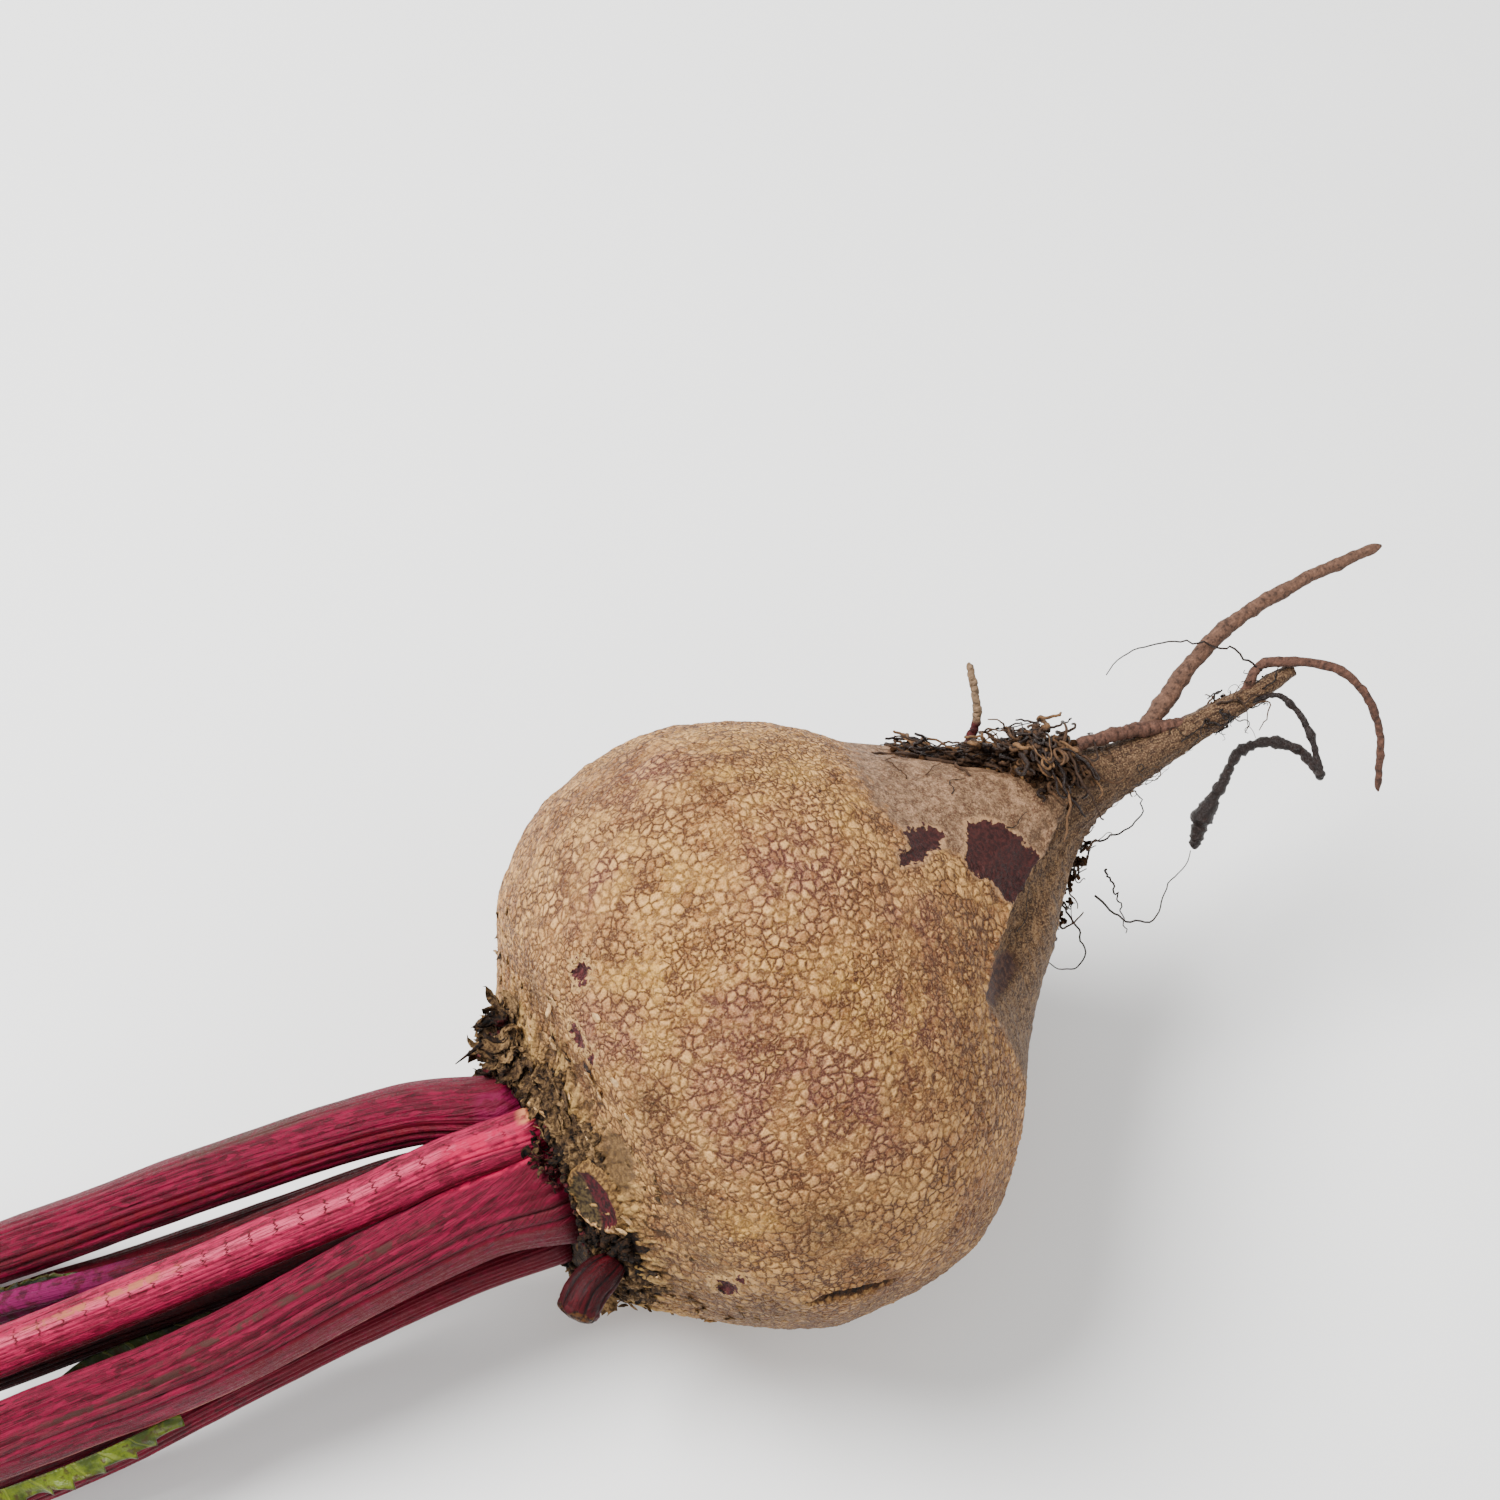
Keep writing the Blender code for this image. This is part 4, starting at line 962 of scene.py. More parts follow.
def make_rootlets():
    """The tangle of curled roots in the groove of the tail, beside it and at the fork."""
    pile = Pile()
    draw = np.random.default_rng(12)
    for _ in range(TANGLE_HAIRS):
        t = 75 + 25 * draw.beta(2.2, 1.5)
        wide = float(ease(86, 95, t))
        phi = math.radians(68 - 24 * wide + (6 + 32 * wide) * draw.uniform(-1, 1))
        start = (t, phi, draw.uniform(0.2, 1.0 + 3.6 * float(ease(82, 94, t))))
        path = wander(start, draw.uniform(-math.pi, math.pi), draw.uniform(4, 13), 0.3,
                      draw.uniform(-0.15, 0.25), draw, 24, draw.choice([-1, 1]) * draw.uniform(0.12, 0.5))
        hair(pile, path, draw.uniform(0.16, 0.5), 0.12 + 0.7 * draw.random() ** 1.7)
    for _ in range(LOWER_HAIRS):
        t = draw.uniform(84, 95)
        start = (t, math.radians(draw.uniform(-112, -84)), draw.uniform(-0.2, 0.6))
        path = wander(start, draw.uniform(-1.9, -0.2), draw.uniform(4, 9), 0.4, draw.uniform(0.1, 0.6), draw,
                      16, draw.uniform(-0.3, 0.3))
        hair(pile, path, draw.uniform(0.12, 0.36), 0.7 * draw.random() ** 2)
    for _ in range(FORK_HAIRS):
        start = (draw.uniform(120, 136), draw.uniform(-math.pi, math.pi), draw.uniform(-0.3, 0.3))
        path = wander(start, draw.uniform(-2.2, 2.2), draw.uniform(4, 9), 0.5, draw.uniform(0.0, 0.5), draw)
        hair(pile, path, draw.uniform(0.08, 0.22), 0.6 * draw.random() ** 2)
    for _ in range(FINE_HAIRS):
        start = (draw.uniform(70, 118), draw.uniform(-math.pi, math.pi), 0.1)
        path = wander(start, draw.uniform(-0.8, 0.8), draw.uniform(3, 8), 0.25, draw.uniform(0.0, 0.1), draw)
        hair(pile, path, draw.uniform(0.06, 0.14), 0.8 * draw.random())
    for route in HAIRS:
        points = np.array([beside_root(*place) for place in route])
        hair(pile, through(points, 24) + 0.2 * draw.normal(size=(24, 3)), 0.2, 0.15)
    bark = root_shade("rootlet_bark", (48, 35, 28), (98, 76, 60), (150, 122, 98), 0.5)
    pile.piece("fine_roots", bark, "soil")


# Crumbs, flakes and scales


def ball():
    """Points and faces of a small round body to make crumbs from."""
    shell = bmesh.new()
    bmesh.ops.create_icosphere(shell, subdivisions=2, radius=1)
    points = np.array([vert.co[:] for vert in shell.verts])
    faces = [[vert.index for vert in face.verts] for face in shell.faces]
    shell.free()
    return points, faces


BALL = ball()


def crumb(middle, size, draw):
    """Points and faces of a lumpy crumb."""
    points, faces = BALL
    squash = draw.uniform(0.55, 1.0, 3)
    lumpy = 1 + 0.35 * np.sin(points @ draw.uniform(-4, 4, 3) + draw.uniform(0, 6))
    lumpy = lumpy + 0.12 * draw.normal(size=len(points))
    return middle + size * points * squash * lumpy[:, None], faces


def flake(base, heading, up, length, width, curl, draw):
    """A papery torn flake that stands on the skin at its base."""
    across = np.cross(up, heading)
    rows, columns = 9, 6
    share = np.linspace(0, 1, rows)
    angle = curl * share
    forward = np.cumsum(np.cos(angle)) / rows * length
    lift = np.cumsum(np.sin(angle)) / rows * length
    middle = base + np.outer(forward, heading) + np.outer(lift, up)
    middle = middle + np.outer(draw.uniform(-0.4, 0.4) * length * share ** 2, across)
    half = width / 2 * (0.75 + 0.9 * share - 1.35 * share ** 2) * (1 + 0.12 * draw.normal(size=rows))
    sideways = np.linspace(-1, 1, columns)
    ragged = 0.08 * length * draw.normal(size=columns)
    grid = middle[:, None] + (half[:, None] * sideways)[..., None] * across
    grid = grid + (share[:, None] ** 2 * ragged)[..., None] * heading
    cup = draw.uniform(-0.35, 0.5) * width * 0.4 * (sideways ** 2)
    crinkle = 0.07 * width * draw.normal(size=(rows, columns)) * share[:, None]
    grid = grid + (cup + crinkle)[..., None] * up
    return plate(grid, draw.uniform(0.14, 0.26), up)


def lay_flake(pile, place, spin, form, tone, draw):
    """Lays a flake of some length, width and curl on the skin at t, phi and lift, turned by spin from the
    way down the skin."""
    t, phi, lift = place
    up, down, beside = skin_ways(t, phi)
    heading = down * math.cos(spin) + beside * math.sin(spin)
    pile.take(flake(on_root(t, phi, lift), heading, up, *form, draw), tone)


def collar_edge(phi):
    """How far the collar reaches down the shoulder, short over the bare leaf scar."""
    ragged = 1.3 + 0.9 * np.sin(5 * phi + 0.7) + 0.8 * np.sin(11 * phi + 2.0) + 0.4 * np.sin(17 * phi)
    for degrees, half, less in ((95, 0.5, 1.2), (-95, 0.5, 1.0), (20, 0.55, 2.2)):
        ragged = ragged - less * spot(phi, degrees, half)
    bare = spot(phi, -18, 0.27)
    return ragged * (1 - bare) - 0.6 * bare


def scale_shade():
    """Dead leaf bases: black, brown, straw, cream and dark red by each piece's tone, with fibres."""
    material, n, shader, where = shade("dry_leaf_bases", 0.82, 0.2)
    fibre = n.noise(n.shake(where, 0.5, 2.0), 1.7, 5.0, 0.65)
    blotch = n.noise(where, 0.45, 4.0)
    tone = n.plus(n.field("tone"), n.centred(where, 0.7, 4.0, 0.3))
    colour = n.blend(fibre, 0.4, 0.6, (34, 24, 20), (78, 60, 48))
    brown = n.blend(fibre, 0.4, 0.6, (76, 60, 48), (124, 104, 84))
    straw = n.blend(fibre, 0.4, 0.6, (108, 88, 70), (168, 143, 115))
    cream = n.blend(blotch, 0.4, 0.6, (206, 172, 136), (236, 208, 174))
    red = n.blend(fibre, 0.4, 0.6, (62, 28, 30), (124, 70, 70))
    colour = n.layers(colour, (tone, 0.14, 0.3, 1.0, brown), (tone, 0.42, 0.6, 1.0, straw),
                      (tone, 0.78, 0.92, 1.0, cream), (n.field("tone"), 1.4, 1.6, 1.0, red))
    finish(n, shader, colour, fibre, 0.55)
    return material


def collar_tone(phi):
    """Dark debris at the upper side, painted shade on the lower side beside the stub's foot, straw between."""
    return 0.36 - 0.2 * spot(phi, 80, 0.3) - 0.34 * spot(phi, -43, 0.13)


def make_collar(shade_of):
    """The fibrous ring of dead leaf bases, ridged along the rim of the crown."""
    phi = circle(COLLAR_SIDES)
    back = collar_edge(phi) + 0.7 * wobble(31 * phi, 0.2) + 0.5 * wobble(83 * phi, 1.2)
    front = -4.3 + 0.25 * wobble(27 * phi, 0.5)
    envelope = [(0, 0.3), (0.06, 1.0), (0.2, 1.2), (0.5, 1.0), (0.8, 0.55), (0.95, 0.22), (1, 0.1)]
    rings = []
    tones = []
    for share in np.linspace(0, 1, COLLAR_RINGS):
        t = front + share * (back - front)
        ridges = rumple(2.6 * t, 13 * phi, 0.5) + 0.6 * rumple(6.1 * t, 34 * phi, 1.5)
        dish = np.exp(-((t + 2.4) / 3.5) ** 4 - (turn(phi, math.radians(-22.5)) / 0.33) ** 4)
        height = float(smooth(envelope, share)) * (1 - 0.9 * dish)
        rings.append(on_root(t, phi, np.maximum(height * (1 + 0.66 * ridges), 0.06)))
        shadow = 0.45 * (1 - float(ease(0.0, 0.16, share)))
        tones.append(collar_tone(phi) - shadow + 0.34 * ridges + 0.14 * wobble(23 * phi, 2.2))
    for share in np.linspace(1, 0, 6):
        rings.append(on_root(front + share * (back - front), phi, -0.25))
        tones.append(np.zeros(COLLAR_SIDES))
    at = np.arange(len(rings) * COLLAR_SIDES).reshape(len(rings), COLLAR_SIDES)
    beside = np.roll(at, -1, axis=1)
    faces = np.stack([at, beside, np.roll(beside, -1, axis=0), np.roll(at, -1, axis=0)], -1).reshape(-1, 4)
    body = np.concatenate(rings), faces.tolist()
    piece("crown_collar", body, shade_of, ("crown_scales",), {"tone": np.concatenate(tones)})


def make_flakes(shade_of):
    """Torn papery flakes all round the crown: slivers along the rim, chips below it, the curled shards of
    its upper side and single cream flakes."""
    pile = Pile()
    draw = np.random.default_rng(31)
    for _ in range(SLIVERS):
        phi = draw.uniform(-math.pi, math.pi)
        t = draw.uniform(-3.8, float(collar_edge(phi)) + 0.5)
        if apart(phi, -26) < 0.45 or abs(turn(phi, STUB_ANGLE)) < 0.2 or draw.random() < 0.2:
            continue
        spin = math.pi / 2 - draw.normal() * 0.45 - (0 if draw.random() < 0.5 else math.pi)
        tone = np.clip(float(collar_tone(phi)) + 0.1 + 0.24 * draw.normal(), 0.03, 1.0)
        place = (t, phi, draw.uniform(0.3, 1.0))
        form = (draw.uniform(1.2, 3.4), draw.uniform(0.4, 1.4), draw.uniform(0.05, 0.7))
        lay_flake(pile, place, spin, form, tone, draw)
    for _ in range(CHIPS):
        phi = draw.uniform(-math.pi, math.pi)
        t = float(collar_edge(phi)) + draw.uniform(-0.5, 12) * draw.random()
        if t < 3.5 and apart(phi, -20) < 0.6:
            continue
        spin = math.pi / 2 - draw.uniform(0, 2 * math.pi)
        tone = np.clip(0.62 + 0.22 * draw.normal(), 0.2, 1.0)
        form = (draw.uniform(0.7, 2.4), draw.uniform(0.5, 1.5), draw.uniform(0.1, 0.7))
        lay_flake(pile, (t, phi, 0.12), spin, form, tone, draw)
    for _ in range(CURLED_FLAKES):
        phi = math.radians(draw.normal(80, 15))
        if draw.random() < 0.15:
            phi = math.radians(draw.normal(-74, 8))
        t = draw.uniform(-4.0, 0.6)
        spin = math.pi - draw.normal(0, 1.1)
        tone = draw.choice([0.1, 0.25, 0.42, 0.62, RED_TONE], p=[0.2, 0.24, 0.24, 0.22, 0.1])
        place = (t, phi, draw.uniform(0.4, 1.8))
        form = (draw.uniform(2.0, 4.6), draw.uniform(1.2, 3.4), draw.uniform(0.8, 2.6))
        lay_flake(pile, place, spin, form, tone, draw)
    for t, phi, length, width, curl, spin, tone in SHARDS:
        place = (t, math.radians(phi), 1.1 if t < 4 else 0.1)
        lay_flake(pile, place, math.radians(spin), (length, width, curl), tone, draw)
    pile.piece("crown_flakes", shade_of, "dry_scales")


def make_debris(shade_of):
    """Crumbs, short curled fibres, scraps and spikes between the stalks and the collar."""
    pile = Pile()
    draw = np.random.default_rng(5)
    for _ in range(CROWN_CRUMBS):
        phi = draw.uniform(-math.pi, math.pi)
        t = draw.uniform(-4.5, -3.4)
        pick = draw.random()
        if pick < 0.22:
            phi = math.radians(draw.normal(78, 14))
            t = draw.uniform(-4.4, 0.2)
        elif pick < 0.29:
            phi = math.radians(draw.normal(-43, 3))
            t = draw.uniform(-4.4, -0.8)
        elif apart(phi, -23) < 0.3:
            t = -4.5
        middle = on_root(t, phi, draw.uniform(0.0, 1.5))
        tone = 0.05 + 0.35 * draw.random() ** 1.5
        if draw.random() < 0.16:
            tone = RED_TONE
        pile.take(crumb(middle, draw.uniform(0.25, 0.7), draw), tone)
    for _ in range(STUB_CRUMBS):
        middle = on_root(draw.uniform(-4.6, 0.0), math.radians(draw.normal(-43, 2.6)), draw.uniform(0.2, 2.0))
        pile.take(crumb(middle, draw.uniform(0.3, 0.8), draw), 0.12 * draw.random())
    for _ in range(FIBRES):
        phi = draw.uniform(-math.pi, math.pi)
        if draw.random() < 0.5:
            phi = math.radians(draw.normal(80, 18))
        start = (draw.uniform(-4.2, -0.5), phi, draw.uniform(0.5, 1.6))
        path = wander(start, draw.uniform(-math.pi, math.pi), draw.uniform(2, 4.5), 0.5,
                      draw.uniform(0.0, 0.3), draw, 9)
        radius = draw.uniform(0.1, 0.3)
        tone = 0.1 + 0.5 * draw.random() ** 1.5
        if apart(phi, -23) > 0.42:
            hair(pile, path, radius, tone)
    for _ in range(SCRAP_FLAKES):
        place = beside_root(*(SCRAPS + draw.normal(size=3) * (0.7, 2.0, 0.6)))
        heading = unit(draw.normal(size=3) - 0.6 * AXIS)
        up = unit(np.cross(heading, draw.normal(size=3)))
        pile.take(flake(place, heading, up, draw.uniform(1.2, 2.8), draw.uniform(0.5, 1.4),
                        draw.uniform(0.8, 2.6), draw), draw.choice([0.1, 0.3, RED_TONE], p=[0.3, 0.2, 0.5]))
    for route, radius in SPIKES:
        points = through([beside_root(*place) for place in route], 16)
        pile.take(tube(points, radius * np.linspace(1.0, 0.15, 16), HAIR_SIDES), 0.08)
    pile.piece("crown_debris", shade_of, "dry_scales")


def scar_ring(reach, lift, degrees):
    """A ring of the leaf scar at a share of its reach, round an angle."""
    ways = circle(SCAR_SIDES)
    t = -2.4 + 2.3 * reach * np.cos(ways) - 0.35 * reach * np.sin(ways)
    return on_root(t, np.radians(degrees + 15.5 * reach * np.sin(ways)), lift)


def scar_shade():
    """Green-grey on one side and dark red on the other, in a pale ragged rim."""
    material, n, shader, where = shade("leaf_scar", 0.7, 0.25)
    fine = n.noise(where, 1.5, 5.0, 0.65)
    side = n.plus(n.field("side"), n.centred(where, 0.4, reach=0.25))
    low = n.plus(n.field("low"), n.centred(where, 0.6, reach=0.5))
    colour = n.blend(fine, 0.4, 0.6, (66, 52, 40), (112, 98, 76))
    red = n.blend(fine, 0.4, 0.6, (62, 20, 26), (112, 52, 56))
    rim = n.blend(fine, 0.4, 0.6, (104, 80, 58), (168, 136, 100))
    cream = n.blend(fine, 0.4, 0.6, (168, 134, 102), (222, 186, 150))
    rim = n.layers(rim, (low, 0.3, 0.8, 1.0, cream))
    shake = n.times(n.centred(where, 0.8, 4.0), n.step(n.field("rim"), 0.55, 0.85, 0.0, 0.35))
    ragged = n.plus(n.field("rim"), shake)
    colour = n.layers(colour, (side, -0.2, 0.0, 1.0, red), (ragged, 0.84, 0.92, 1.0, rim))
    finish(n, shader, colour, fine, 0.4)
    return material


def make_scar():
    """The dish that a leaf left at the front of the crown, closed under the skin."""
    ways = circle(SCAR_SIDES)
    profile = [(0, 0.5), (0.3, 0.45), (0.6, 0.5), (0.78, 0.7), (0.89, 1.15), (0.96, 1.2), (1.04, 0.8),
               (1.2, 0.1)]
    rings = []
    rows = []
    for reach in np.linspace(0.04, 1.2, SCAR_RINGS):
        ragged = reach * (1 + 0.08 * wobble(5 * ways, 1.0) + 0.09 * wobble(17 * ways, 2.0) * reach)
        lift = smooth(profile, ragged) + 0.12 * reach * wobble(9 * ways + 6 * reach, 3.0)
        rings.append(scar_ring(ragged, lift, -22))
        side = reach * np.cos(ways)
        rows.append({"rim": ragged, "side": side, "low": -reach * np.sin(ways) - 0.6 * side})
    for reach in (1.2, 0.6, 0.04):
        rings.append(scar_ring(reach, -0.3, -23))
        rows.append({"rim": 1.2, "side": 0.0, "low": 0.0})
    piece("leaf_scar_dish", lofted(rings), scar_shade(), (), joined(rows, SCAR_SIDES))


# Soil


def soil_shade():
    material, n, shader, where = shade("caked_soil", 0.95, 0.15)
    grain = n.noise(where, 1.8, 6.0, 0.7)
    tone = n.plus(n.field("tone"), n.centred(where, 1.2, reach=0.2))
    colour = n.blend(grain, 0.38, 0.62, (46, 32, 24), (104, 80, 62))
    finish(n, shader, n.layers(colour, (tone, 0.6, 0.9, 1.0, (158, 128, 100))), grain, 0.5)
    return material


def make_soil():
    """Crumbs of soil heaped along the groove of the tail."""
    pile = Pile()
    draw = np.random.default_rng(9)
    for _ in range(GROOVE_CRUMBS):
        t = 76 + 25 * draw.beta(2.4, 1.5)
        wide = float(ease(86, 95, t))
        sideways = draw.normal() * 0.5
        phi = math.radians(68 - 20 * wide + (7 + 34 * wide) * sideways)
        heap = (0.5 + 2.8 * wide) * math.exp(-1.5 * sideways ** 2)
        middle = on_root(t, phi, draw.uniform(0.0, 1.0) * heap)
        pale = draw.random() < 0.08
        pile.take(crumb(middle, draw.uniform(0.25, 0.85), draw), 0.85 if pale else 0.3 * draw.random())
    for _ in range(LOWER_CRUMBS):
        t = draw.uniform(84, 94)
        phi = math.radians(draw.uniform(-112, -82))
        middle = on_root(t, phi, draw.uniform(0.0, 1.8))
        pile.take(crumb(middle, draw.uniform(0.2, 0.7), draw), 0.4 * draw.random())
    pile.piece("caked_soil", soil_shade(), "soil", ("soil_rootlets",))


# Leaf stalks


CUT_ENDS = ((172, 76, 94), (204, 126, 132))
MAGENTA = (140, 10, 76)
SHEATH = (224, 160, 128)
# Bright pink by the crown, laid on the stalks' upper sides: their colour and a painted highlight
HOT_PINK = (208, 68, 98)
BEIGE = (190, 130, 110)
CRIMSON = (128, 16, 52)
LILAC = (142, 18, 92)
DULL = (100, 74, 70)


def stalk_shade(name, groove, crest, scuffs=(), pink=(), extras=(), pale_edge=0.0, end=CUT_ENDS):
    """Ribbed crimson flesh. Scuffs and pink stripes are given as a place across the stalk from -1 to 1,
    their half width and their strength. Extras are given as a colour, where it lies across and along the
    stalk, and how soft its ends are."""
    material, n, shader, where = shade(name, 0.4, 0.16)
    groove = srgb(*groove)
    crest = srgb(*crest)
    pale = tuple(min(1.0, 1.6 * part) for part in crest)
    deep = tuple(0.55 * part for part in groove)
    names = ("along", "around", "along_seed", "rib", "lateral")
    along, around, seed, rib, side = (n.field(key) for key in names)
    run = n.join(n.times(along, 0.07), around, seed)
    streak = n.noise(run, 2.2, 5.0, 0.6)
    broad = n.noise(run, 0.6, 3.0)
    cell = n.noise(where, 1.9, 5.0, 0.65)
    line = n.noise(n.move("MULTIPLY", run, (0.8, 1.0, 1.0)), 4.5, 3.0, 0.6)
    block = n.shake(n.join(n.times(along, 0.34), n.times(around, 0.95), seed), 1.1, 0.35)
    block = n.cells(block, 1.0, 0.85)
    colour = n.mix(n.step(n.plus(rib, n.centred(run, 1.6, reach=0.25)), 0.15, 0.7), groove, crest)
    between = n.mix(0.5, groove, crest)
    colour = n.layers(colour, (streak, 0.54, 0.64, 0.7, groove), (broad, 0.44, 0.62, 0.5, between),
                      (block, 0.5, 1.0, 0.55, pale), (block, 0.4, 0.0, 0.5, groove))
    lateral = n.plus(side, n.centred(run, 0.5, reach=0.1))
    # Pale pink ridge stripe, partly a painted highlight of the upper side, crossed by dark cracks
    for at, half, strength in pink:
        away = n.math("ABSOLUTE", n.math("SUBTRACT", lateral, at))
        stripe = n.times(n.step(away, half, 0.6 * half, 0.0, strength), n.step(streak, 0.62, 0.46, 0.3, 1.0))
        colour = n.mix(stripe, colour, srgb(220, 122, 138))
        ladder = n.math("FRACT", n.plus(n.times(along, 0.24), n.centred(run, 1.2, reach=0.4)))
        crossing = n.times(n.step(away, 1.9 * half, 1.2 * half), n.step(ladder, 0.12, 0.06))
        colour = n.mix(crossing, colour, srgb(112, 28, 46))
    for at, half, strength in scuffs:
        stripe = n.step(n.math("ABSOLUTE", n.math("SUBTRACT", lateral, at)), half, 0.3 * half, 0.0, strength)
        broken = n.step(n.plus(block, n.centred(where, 0.4, reach=0.8)), 0.25, 0.5)
        colour = n.mix(n.times(stripe, broken), colour, srgb(104, 74, 72))
    rim = n.times(n.step(side, -0.95, -0.99, 0.0, pale_edge), n.step(along, 14.0, 40.0))
    colour = n.mix(rim, colour, srgb(200, 150, 136))
    colour = n.layers(colour, (cell, 0.54, 0.68, 0.5, pale), (cell, 0.46, 0.32, 0.45, groove),
                      (line, 0.54, 0.62, 0.75, deep))
    furrow = n.step(n.plus(rib, n.centred(run, 1.6, reach=0.2)), 0.5, 0.2)
    colour = n.mix(n.times(n.step(along, 46.0, 6.0), furrow), colour, deep)
    base_tone = n.times(n.step(along, 1.0, 9.0, 0.6, 0.0), n.step(streak, 0.3, 0.6, 0.2, 1.0))
    colour = n.mix(base_tone, colour, srgb(112, 16, 48))
    for over, (low, high), (near, far), soft in extras:
        edge = min(0.15, 0.25 * (high - low))
        inside = n.times(n.step(lateral, low, low + edge), n.step(lateral, high, high - edge))
        reach = n.times(n.step(along, near - soft, near + soft), n.step(along, far + soft, far - soft))
        inside = n.times(n.times(inside, reach), n.step(n.noise(where, 0.5, 5.0), 0.42, 0.54, 0.25, 1.0))
        colour = n.mix(inside, colour, srgb(*over))
    inside = n.blend(n.noise(where, 1.6, 4.0), 0.4, 0.6, *end)
    colour = n.layers(colour, (n.field("cut"), 0.4, 0.6, 1.0, inside))
    n.feed(shader.inputs["Roughness"], n.step(cell, 0.3, 0.7, 0.4, 0.66))
    finish(n, shader, colour, n.total((streak, -0.5), (cell, 0.35), (block, 0.15)), 0.5)
    return material


# Looks of each stalk: the colours of its grooves and crests, its scuffs, pink stripes that are partly
# painted highlights, and extra colours, and the strength of its pale edge
STALK_LOOKS = {
    "petiole_1": ((72, 2, 26), (138, 36, 68), [(0.8, 0.2, 0.5)], [],
                  [(MAGENTA, (-0.3, 0.6), (-2, 4), 1.5), (SHEATH, (-1.2, -0.7), (2, 9), 2),
                   (CRIMSON, (-0.7, -0.1), (8, 90), 8), (DULL, (0.6, 1.2), (30, 60), 10)]),
    # Hot pink on petioles 2 and 3 near the crown is partly a painted highlight of their upper sides
    "petiole_2": ((92, 8, 34), (178, 70, 94), [(-0.4, 0.12, 0.5)], [(0.42, 0.22, 1.0)],
                  [(HOT_PINK, (-0.3, 0.7), (1, 14), 4), (SHEATH, (0.4, 1.2), (-2, 1.5), 1),
                   (BEIGE, (0.35, 0.7), (60, 84), 6), (CRIMSON, (-1.2, -0.7), (-2, 90), 6)]),
    "petiole_3": ((72, 6, 26), (142, 48, 72), [(-0.22, 0.14, 0.5)], [],
                  [(HOT_PINK, (0.72, 1.2), (-1, 16), 3), (DULL, (0.22, 0.44), (20, 64), 8),
                   (DULL, (-0.1, 0.1), (56, 88), 8), (CRIMSON, (-1.2, -0.45), (-2, 60), 8)], 0.7),
    "petiole_4": ((70, 4, 24), (138, 34, 62), [], [], [(CRIMSON, (-1.2, 1.2), (-2, 50), 8)]),
    # Petiole 6 lies low between the others: its dark reds are painted shade, its lilac end its own colour
    "petiole_5": ((74, 8, 22), (128, 38, 56)),
    "petiole_6": ((56, 4, 20), (104, 20, 44), [], [], [(LILAC, (-1.2, 1.2), (70, 200), 10)]),
    # Petiole 7 lies deep between the others: its near black reds are painted shade
    "petiole_7": ((50, 8, 18), (88, 24, 38)),
}


def stalk_body(base, size, end_size, fill, flare, route, seed):
    """Rings of a ribbed leaf stalk with its fields, hollowed on the side that faces the other stalks."""
    start = beside_root(CROWN_FACE - GAP + crown_slant(CROWN_FACE, *base), *base)
    off_face = unit(-AXIS + CROWN_SLANT[0] * ACROSS + CROWN_SLANT[1] * OUTWARD)
    path = through([start, *route], STALK_RINGS * 3)
    way = unit(np.gradient(path, axis=0))
    picks = np.round(np.linspace(0, 1, STALK_RINGS) ** 1.05 * (len(path) - 1)).astype(int)
    inner = unit(-(base[0] * ACROSS + base[1] * OUTWARD))
    theta = circle(STALK_SIDES)
    length = np.linalg.norm(np.diff(path, axis=0), axis=1).sum()
    phases = np.random.default_rng(seed).uniform(0, 2 * math.pi, 6)
    ribs = round(1.05 * (size[0] + size[1])) / 2 + 3
    rings = []
    rows = []
    for pick in picks:
        share = pick / (len(path) - 1)
        along = off_face if pick == 0 else way[pick]
        face = unit(inner - along * np.dot(inner, along))
        wide = np.cross(along, face)
        near = math.exp(-share * length / 8)
        width = (size[0] + (end_size[0] - size[0]) * share) * (1 + flare * near)
        depth = (size[1] + (end_size[1] - size[1]) * share) * (1 + 0.1 * near)
        slow = share * 5
        phase = ribs * theta + 1.3 * np.sin(2 * theta + phases[0])
        phase = phase + 0.8 * np.sin(3 * theta + phases[1] + 0.4 * slow)
        rib = np.abs(np.cos(phase)) ** 0.5
        strong = 0.6 + 0.4 * np.sin(2 * theta + phases[2] + 0.3 * slow) + 0.35 * np.sin(5 * theta + phases[3])
        strong = np.clip(strong, 0.1, 1.3)
        fine = np.sin(41 * theta + phases[4] + 0.8 * np.sin(slow * 3))
        out = 0.98 + (rib - 0.78) * strong / depth + 0.005 * fine
        out = out + 0.02 * wobble(7 * share + 0.5 * theta, phases[0]) + 0.01 * wobble(23 * share, phases[5])
        hollow = np.where(np.sin(theta) > 0, fill - 0.3 * np.exp(-(np.cos(theta) / 0.4) ** 2), 1.0)
        x = width / 2 * np.cos(theta) * out
        y = depth / 2 * np.sin(theta) * hollow * out
        spread = x[:, None] * wide + y[:, None] * face
        rings.append(path[pick] + spread)
        reach = spread @ ACROSS
        rows.append({
            "along": share * length,
            "around": theta * width * 0.7,
            "along_seed": 7.0 * seed,
            "cut": 0.0,
            "rib": 1 - (1 - rib) * np.clip(strong, 0.2, 1.0),
            "lateral": reach / np.abs(reach).max(),
        })
    rim = rings[-1]
    middle = rim.mean(0)
    for inward in (0.985, 0.8, 0.5, 0.2):
        rings.append(middle + (rim - middle) * inward + way[-1] * 0.15 * math.sin(9 * inward))
        rows.append(rows[-1] | {"cut": 1.0})
    points, faces = lofted(rings)
    points[:, 2] = np.maximum(points[:, 2], 0)
    return (points, faces), joined(rows, STALK_SIDES)


def make_stalks():
    for seed, (name, form) in enumerate(STALKS.items(), 1):
        body, fields = stalk_body(*form, seed)
        look = stalk_shade(name + "_flesh", *STALK_LOOKS[name])
        piece(name + "_ribbed", body, look, (name,), fields)


